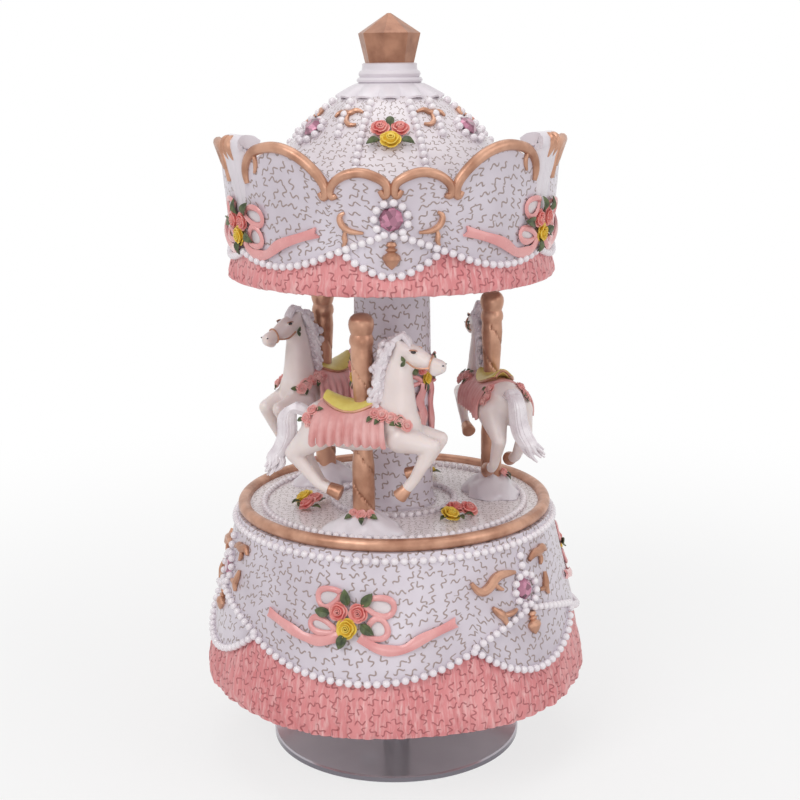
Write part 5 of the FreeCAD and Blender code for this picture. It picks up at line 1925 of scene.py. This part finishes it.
    def cloth(self) -> Piece:
        """Pleated cloth under the saddle, scalloped along its hem.

        Returns:
            The cloth.
        """
        pleats = 8.5

        def pleat(across: float, along: float) -> Vector:
            """Surface of the cloth, pleated below the saddle.

            Args:
                across: share of the width.
                along: share of the length.

            Returns:
                The point in metres.
            """
            side = (across - 0.5) * 2
            share = max(0.0, (abs(side) - 0.35) / 0.65)
            forward = -8.8 + 14.4 * along + (along - 0.5) * 1.4 * share
            wave = math.sin(along * 2 * math.pi * pleats)
            swell = 0.42 + share * (0.85 + 0.5 * wave + 3.0 * max(0.0, 0.3 - along))
            fall = 110.0 + 5.0 * abs(math.sin(along * math.pi * pleats))
            return self.wrap(forward, side * fall, swell)

        return Bench.sheet("cloth", 30, 76, pleat, 0.35)

    @staticmethod
    def tack() -> Piece:
        """Bronze bridle and eyelids.

        Returns:
            The bars.
        """
        ring = [Vector((14.4 + 0.4 * math.sin(a), 1.5 * math.cos(a), 35.9 + 1.62 * math.sin(a))) * MM
                for a in (2 * math.pi * i / 12 for i in range(12))]
        bars = [Bench.tube("strap", ring, [0.2], closed=True, sides=2)]
        cheek = ((14.3, 1.5, 35.3), (12.8, 1.78, 35.1), (11.2, 2.0, 35.4), (9.9, 2.08, 36.5))
        lid = ((10.4, 1.88, 38.7), (11.2, 2.04, 39.05), (12.1, 1.86, 38.65))
        for side in (-1, 1):
            for line, radii in ((cheek, [0.19]), (lid, [0.12, 0.17, 0.1])):
                points = [Vector((x, side * y, z)) * MM for x, y, z in line]
                bars.append(Bench.tube("strap", points, radii, sides=2))
        return Bench.joined("tack", bars)

    @staticmethod
    def hooves() -> Piece:
        """Four flared hooves in line with the lower legs.

        Returns:
            The hooves.
        """
        shoes = []
        for x, z, toe_x, toe_z, side in ((-6.8, 9.5, -3.9, 8.5, -2.9), (-8.5, 8.1, -5.9, 7.0, 2.7),
                                         (10.1, 10.8, 8.2, 8.6, -2.5), (11.2, 13.1, 8.6, 11.9, 2.5)):
            start, end = Vector((x, side, z)) * MM, Vector((toe_x, side, toe_z)) * MM
            shoe = Bench.apply(Bench.cone(start, end, 1.1, 1.6, 18), "BEVEL", width=0.28 * MM, segments=3)
            shoes.append(Bench.smooth(shoe))
        return Bench.joined("hooves", shoes)

    @staticmethod
    def eyes() -> Piece:
        """Dark eyes under their lids, and nostrils.

        Returns:
            The eyes and nostrils.
        """
        dots = []
        for side in (-1, 1):
            dots.append(Bench.ball(0.42, Vector((11.3, side * 1.98, 38.45)) * MM, (1.35, 0.5, 0.75), rings=6))
            dots.append(Bench.ball(0.2, Vector((17.1, side * 1.02, 35.8)) * MM, (1.3, 0.6, 0.8), rings=5))
        return Bench.joined("eyes", dots)

    def wreath(self, place: Matrix, side: int, draw: random.Random, trim: Trimmings) -> None:
        """Roses and leaves about the chest, the croup and the cheek on one side of a horse.

        Args:
            place: where the horse stands.
            side: -1 or 1.
            draw: source of their turns.
            trim: where they go.
        """
        for forward, angle, size in self.garland_roses:
            turn = math.radians(side * angle)
            ahead = 0.7 if forward > 8 else -0.25 if forward < -9 else 0.0
            out = Vector((ahead, math.sin(turn), math.cos(turn)))
            aim = out.to_track_quat("Z", "Y").to_matrix().to_4x4()
            seat = place @ Matrix.Translation(self.wrap(forward, side * angle, 0.55)) @ aim
            spin = turned(draw.uniform(0, 6))
            trim.bloom(Paint.PINK_ROSE, seat @ spin @ scaled(1.25 * size))
            if draw.random() < 0.85:
                spin = turned(draw.uniform(0, 6.28))
                stem = shifted(0, 0.7, -0.1)
                trim.leaves.append(seat @ spin @ stem @ scaled(1.7))
        cheek = place @ shifted(9.7, side * 2.15, 36.5)
        cheek = cheek @ turned(-side * math.pi / 2, "X")
        for turn in (0.6, 2.4):
            trim.leaves.append(cheek @ turned(turn) @ scaled(1.4))

    def garland(self, trim: Trimmings) -> None:
        """Roses and leaves on each horse and at the foot of its pole.

        Args:
            trim: where they go.
        """
        draw = random.Random(4)
        tilt = turned(0.7, "X")
        for place in self.places():
            for side in (-1, 1):
                self.wreath(place, side, draw, trim)
            for across, out, size in ((-1.5, -2.2, 1.15), (0.3, -2.9, 1.2), (1.9, -2.0, 1.1)):
                lift = place @ shifted(across, out, 4.2) @ tilt
                trim.bloom(Paint.PINK_ROSE, lift @ scaled(size))
            for across, out, turn in ((-1.6, -2.6, 2.2), (0.6, -3.4, 3.3), (2.0, -2.4, 4.4)):
                lift = place @ shifted(across, out, 3.9) @ tilt
                trim.leaves.append(lift @ turned(turn) @ scaled(1.9))

    def blossoms(self, trim: Trimmings) -> None:
        """Clusters of roses on the deck between the horses.

        Args:
            trim: where they go.
        """
        roses = ((Paint.YELLOW_ROSE, -2.5, -0.6, 0.9, 0.5, 2.2), (Paint.ROSE, 0.6, 0.9, 1.2, 0.3, 2.1),
                 (Paint.ROSE, 2.7, -0.9, 0.9, 0.5, 2.2))
        leaves = ((-3.4, -0.8, 1.6), (-1.2, -1.9, 2.9), (0.6, -1.9, 3.5), (3.4, -0.4, 5.0), (0.0, 2.0, 0.2))
        for i, turn in enumerate(self.turns):
            middle = Matrix.Translation(spot(self.flower_circle, turn + 60.0, self.deck + 0.2))
            middle = middle @ turned(math.radians(turn + 60.0))
            for paint, x, y, z, lean, size in roses:
                seat = middle @ shifted(x, y, z) @ turned(lean, "X")
                trim.bloom(paint, seat @ scaled(size))
            for x, y, spin in leaves:
                seat = middle @ shifted(x, y, 0.5)
                trim.leaves.append(seat @ turned(spin + 0.3 * i) @ scaled(2.3))

    @staticmethod
    def pole() -> Piece:
        """Twisted pole with a turned head, standing on the deck.

        Returns:
            The pole.
        """
        taper = ((0.0, 2.3), (14.0, 2.3), (19.0, 1.8), (28.0, 1.75), (36.5, 2.3), (38.4, 2.2))
        head = ((2.2, 38.9), (2.42, 39.4), (2.48, 40.0), (2.36, 40.7), (2.12, 41.3), (2.3, 41.8), (2.5, 42.5),
                (2.6, 43.3), (2.5, 44.1), (2.15, 44.8), (1.5, 45.35), (0.5, 45.6))
        shaft = [(lerp(taper, height), height) for height in (0.6 * i for i in range(1, 65))]

        def twist(azimuth: float, radius: float, height: float) -> Pair:
            """Two creases that wind up the shaft.

            Args:
                azimuth: degrees.
                radius: mm.
                height: mm.

            Returns:
                The new radius and height.
            """
            if not 0.3 < height < 38.2:
                return radius, height
            crease = abs(math.sin(math.radians(azimuth + 22.0 * height)))
            return radius * (0.72 + 0.28 * min(1.0, crease * 5.0) ** 0.6), height

        piece = Bench.spun("pole", [(0.6, 0.0), (2.2, 0.0), *shaft, *head], 64, 2.0, twist)
        return Bench.smooth(Bench.outward(Bench.capped(Bench.outward(piece))), 35.0)

    @staticmethod
    def mound() -> Piece:
        """Low lumpy mound that the pole stands in, longest along the horse.

        Returns:
            The mound.
        """
        profile = [(1.9, 0.0), (8.2, 0.0), (8.4, 0.3), (7.9, 0.9), (7.0, 1.5), (5.9, 2.2), (4.7, 3.0),
                   (3.5, 3.7), (2.4, 4.2), (1.9, 4.3)]

        def lump(azimuth: float, radius: float, height: float) -> Pair:
            """Oval, uneven outline.

            Args:
                azimuth: degrees.
                radius: mm.
                height: mm.

            Returns:
                The new radius and height.
            """
            angle = math.radians(azimuth)
            share = clamp((radius - 2.2) / 6.0)
            oval = 1.0 - share * 0.28 * math.cos(angle) ** 2
            waves = 0.06 * math.sin(5 * angle + 1.0) + 0.05 * math.sin(9 * angle + height * 2.0)
            rough = 1.0 + share * waves
            return radius * oval * rough, height * (1.0 + 0.09 * math.sin(4 * angle + radius))

        return Bench.smooth(Bench.outward(Bench.spun("mound", [*profile, profile[0]], 72, 6.0, lump)), 60.0)

    def build(self) -> None:
        """Builds one horse, pole and mound, and copies each to its three places."""
        saddle, piping = self.saddle()
        patterns = (("horse", self.body(), Paint.HORSE, "horse_resin", "horse_{}"),
                    ("hair", self.hair(), Paint.MANE, "horse_resin", ""),
                    ("saddle", saddle, Paint.SADDLE, "horse_resin", ""),
                    ("piping", piping, Paint.BRONZE, "bronze_paint", ""),
                    ("cloth", self.cloth(), Paint.CLOTH, "coral_resin", ""),
                    ("bridle", self.tack(), Paint.BRONZE, "bronze_paint", ""),
                    ("hooves", self.hooves(), Paint.BRONZE, "bronze_paint", ""),
                    ("eyes", self.eyes(), Paint.EYE, "horse_resin", ""),
                    ("twisted_pole", self.pole(), Paint.BRONZE, "bronze_paint", "pole_{}"),
                    ("resin_mound", self.mound(), Paint.PLAIN_PEARL, "white_resin", "mound_{}"))
        for name, pattern, paint, slot, node in patterns:
            for i, place in enumerate(self.places(), start=1):
                piece = Bench.rename(Bench.moved(Bench.twin(pattern), place), f"{name}_dressed_{i}")
                settle(piece, paint, slot, *([node.format(i)] if node else []))
            bpy.data.objects.remove(pattern)
        trim = Trimmings("deck")
        self.garland(trim)
        trim.finish()
        posies = Trimmings("posy")
        self.blossoms(posies)
        posies.finish("deck_flowers")


@dataclass
class Studio:
    """White room, soft lamps and the camera, in metres."""

    eye: Point = (0.0, -0.30382, 0.14787)
    aim: Point = (0.0, 0.0, 0.0766)
    lens: float = 64.494
    sensor: float = 36.0
    roll: float = -0.6
    shift: float = 0.00875

    lamps = (("key", (-0.55, -0.75, 0.85), 0.6, 4.2), ("side", (0.75, -0.45, 0.5), 0.6, 1.6),
             ("front", (0.1, -1.0, 0.02), 0.5, 1.3), ("top", (0.0, 0.15, 1.0), 0.7, 1.8))

    @staticmethod
    def look(name: str, data: bpy.types.ID, place: Point, aim: Point, roll: float = 0.0) -> Piece:
        """Camera or lamp that faces a point.

        Args:
            name: name of the object.
            data: camera or lamp.
            place: where it stands.
            aim: point that it faces.
            roll: degrees about its own axis.

        Returns:
            The object, in the scene.
        """
        obj = bpy.data.objects.new(name, data)
        bpy.context.collection.objects.link(obj)
        turn = (Vector(aim) - Vector(place)).to_track_quat("-Z", "Y").to_matrix().to_4x4()
        obj.matrix_world = Matrix.Translation(place) @ turn @ turned(math.radians(roll))
        return obj

    def camera(self) -> None:
        """Camera at the viewing angle of the picture."""
        data = bpy.data.cameras.new("camera")
        data.lens = self.lens
        data.sensor_width = self.sensor
        data.sensor_fit = "HORIZONTAL"
        data.shift_x = self.shift
        data.clip_start = 0.01
        data.clip_end = 20.0
        bpy.context.scene.camera = self.look("camera", data, self.eye, self.aim, self.roll)

    def light(self) -> None:
        """Soft square lamps that face the object."""
        for name, place, size, power in self.lamps:
            data = bpy.data.lights.new(name, "AREA")
            data.size = size
            data.energy = power
            self.look(name, data, place, (0.0, 0.0, 0.08))

    @staticmethod
    def seen(g: Graph) -> Socket:
        """Share of rays that see the white room itself: from the camera, mirrors and glass.

        Args:
            g: node tree of the world or floor.

        Returns:
            The share.
        """
        path = g.add("ShaderNodeLightPath").outputs
        both = g.math("MAXIMUM", path["Is Camera Ray"], path["Is Glossy Ray"])
        return g.math("MAXIMUM", both, path["Is Transmission Ray"])

    def room(self) -> None:
        """White world, and a white floor that keeps the shadow."""
        bpy.context.scene.world = bpy.data.worlds.new("white_room")
        g = Graph.on(bpy.context.scene.world)
        fill = g.add("ShaderNodeBackground", {0: (1.0, 0.985, 0.98, 1.0), 1: 0.5})
        white = g.add("ShaderNodeBackground", {0: (1, 1, 1, 1), 1: 1.0})
        mix = g.add("ShaderNodeMixShader", {0: self.seen(g), 1: fill.outputs[0], 2: white.outputs[0]})
        g.add("ShaderNodeOutputWorld", {0: mix.outputs[0]})
        Bench.clear()
        bpy.ops.mesh.primitive_grid_add(x_subdivisions=8, y_subdivisions=8, size=1.6,
                                        location=(0, 0, -0.0002))
        floor = Bench.fix_named("floor")
        material = bpy.data.materials.new("white_floor")
        g = Graph.on(material)
        paper = g.add("ShaderNodeBsdfDiffuse", {0: (0.82, 0.82, 0.82, 1.0)})
        glow = g.add("ShaderNodeEmission", {0: (1, 1, 1, 1), 1: 1.0})
        place = g.add("ShaderNodeTexCoord").outputs["Object"]
        away = g.add("ShaderNodeVectorMath", {0: place}, operation="LENGTH").outputs["Value"]
        far = g.remap(away, (0.06, 0.3), (0.7, 1.0), "SMOOTHSTEP")
        share = g.math("MULTIPLY", self.seen(g), far)
        mix = g.add("ShaderNodeMixShader", {0: share, 1: paper.outputs[0], 2: glow.outputs[0]})
        g.add("ShaderNodeOutputMaterial", {0: mix.outputs[0]})
        floor.data.materials.append(material)

    def build(self) -> None:
        """Sets up the view, the room and the light."""
        self.camera()
        self.room()
        self.light()
        bpy.context.scene.view_settings.view_transform = "Standard"


KEPT = {
    Paint.BRONZE: ("rim_bead",), Paint.AGED_BRONZE: ("finial",), Paint.STONE: ("gemstones",),
    Paint.CHROME: ("turntable_disc",), Paint.FOAM: ("foot_pad",), Paint.BOARD: ("bottom_cover",),
    Paint.NYLON: ("thrust_washer", "air_brake", "governor_bracket"),
    Paint.BRASS: ("crown_wheel", "cylinder_pinion", "cylinder_wheel", "pin_cylinder", "idler_pinion",
                  "worm_wheel"),
}


def dress_kept(nodes: dict[str, Piece]) -> None:
    """Gives every CAD node a finish of its own kind, satin steel where nothing else is said.

    Args:
        nodes: CAD objects by name.
    """
    chosen = {name: paint for paint, names in KEPT.items() for name in names}
    for name, obj in nodes.items():
        paint = chosen.get(name, Paint.SATIN_STEEL)
        for slot in obj.material_slots:
            slot.material = paint.material


def main() -> None:
    """Loads the frame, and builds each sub-assembly."""
    logging.basicConfig(level=logging.INFO, format="%(name)s: %(message)s")
    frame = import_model()
    Pattern.squiggle()
    Pattern.mottle()
    Studio().build()
    Base().build()
    Canopy().build()
    Herd().build()
    dress_kept(frame["nodes"])


if __name__ == "__main__":
    main()
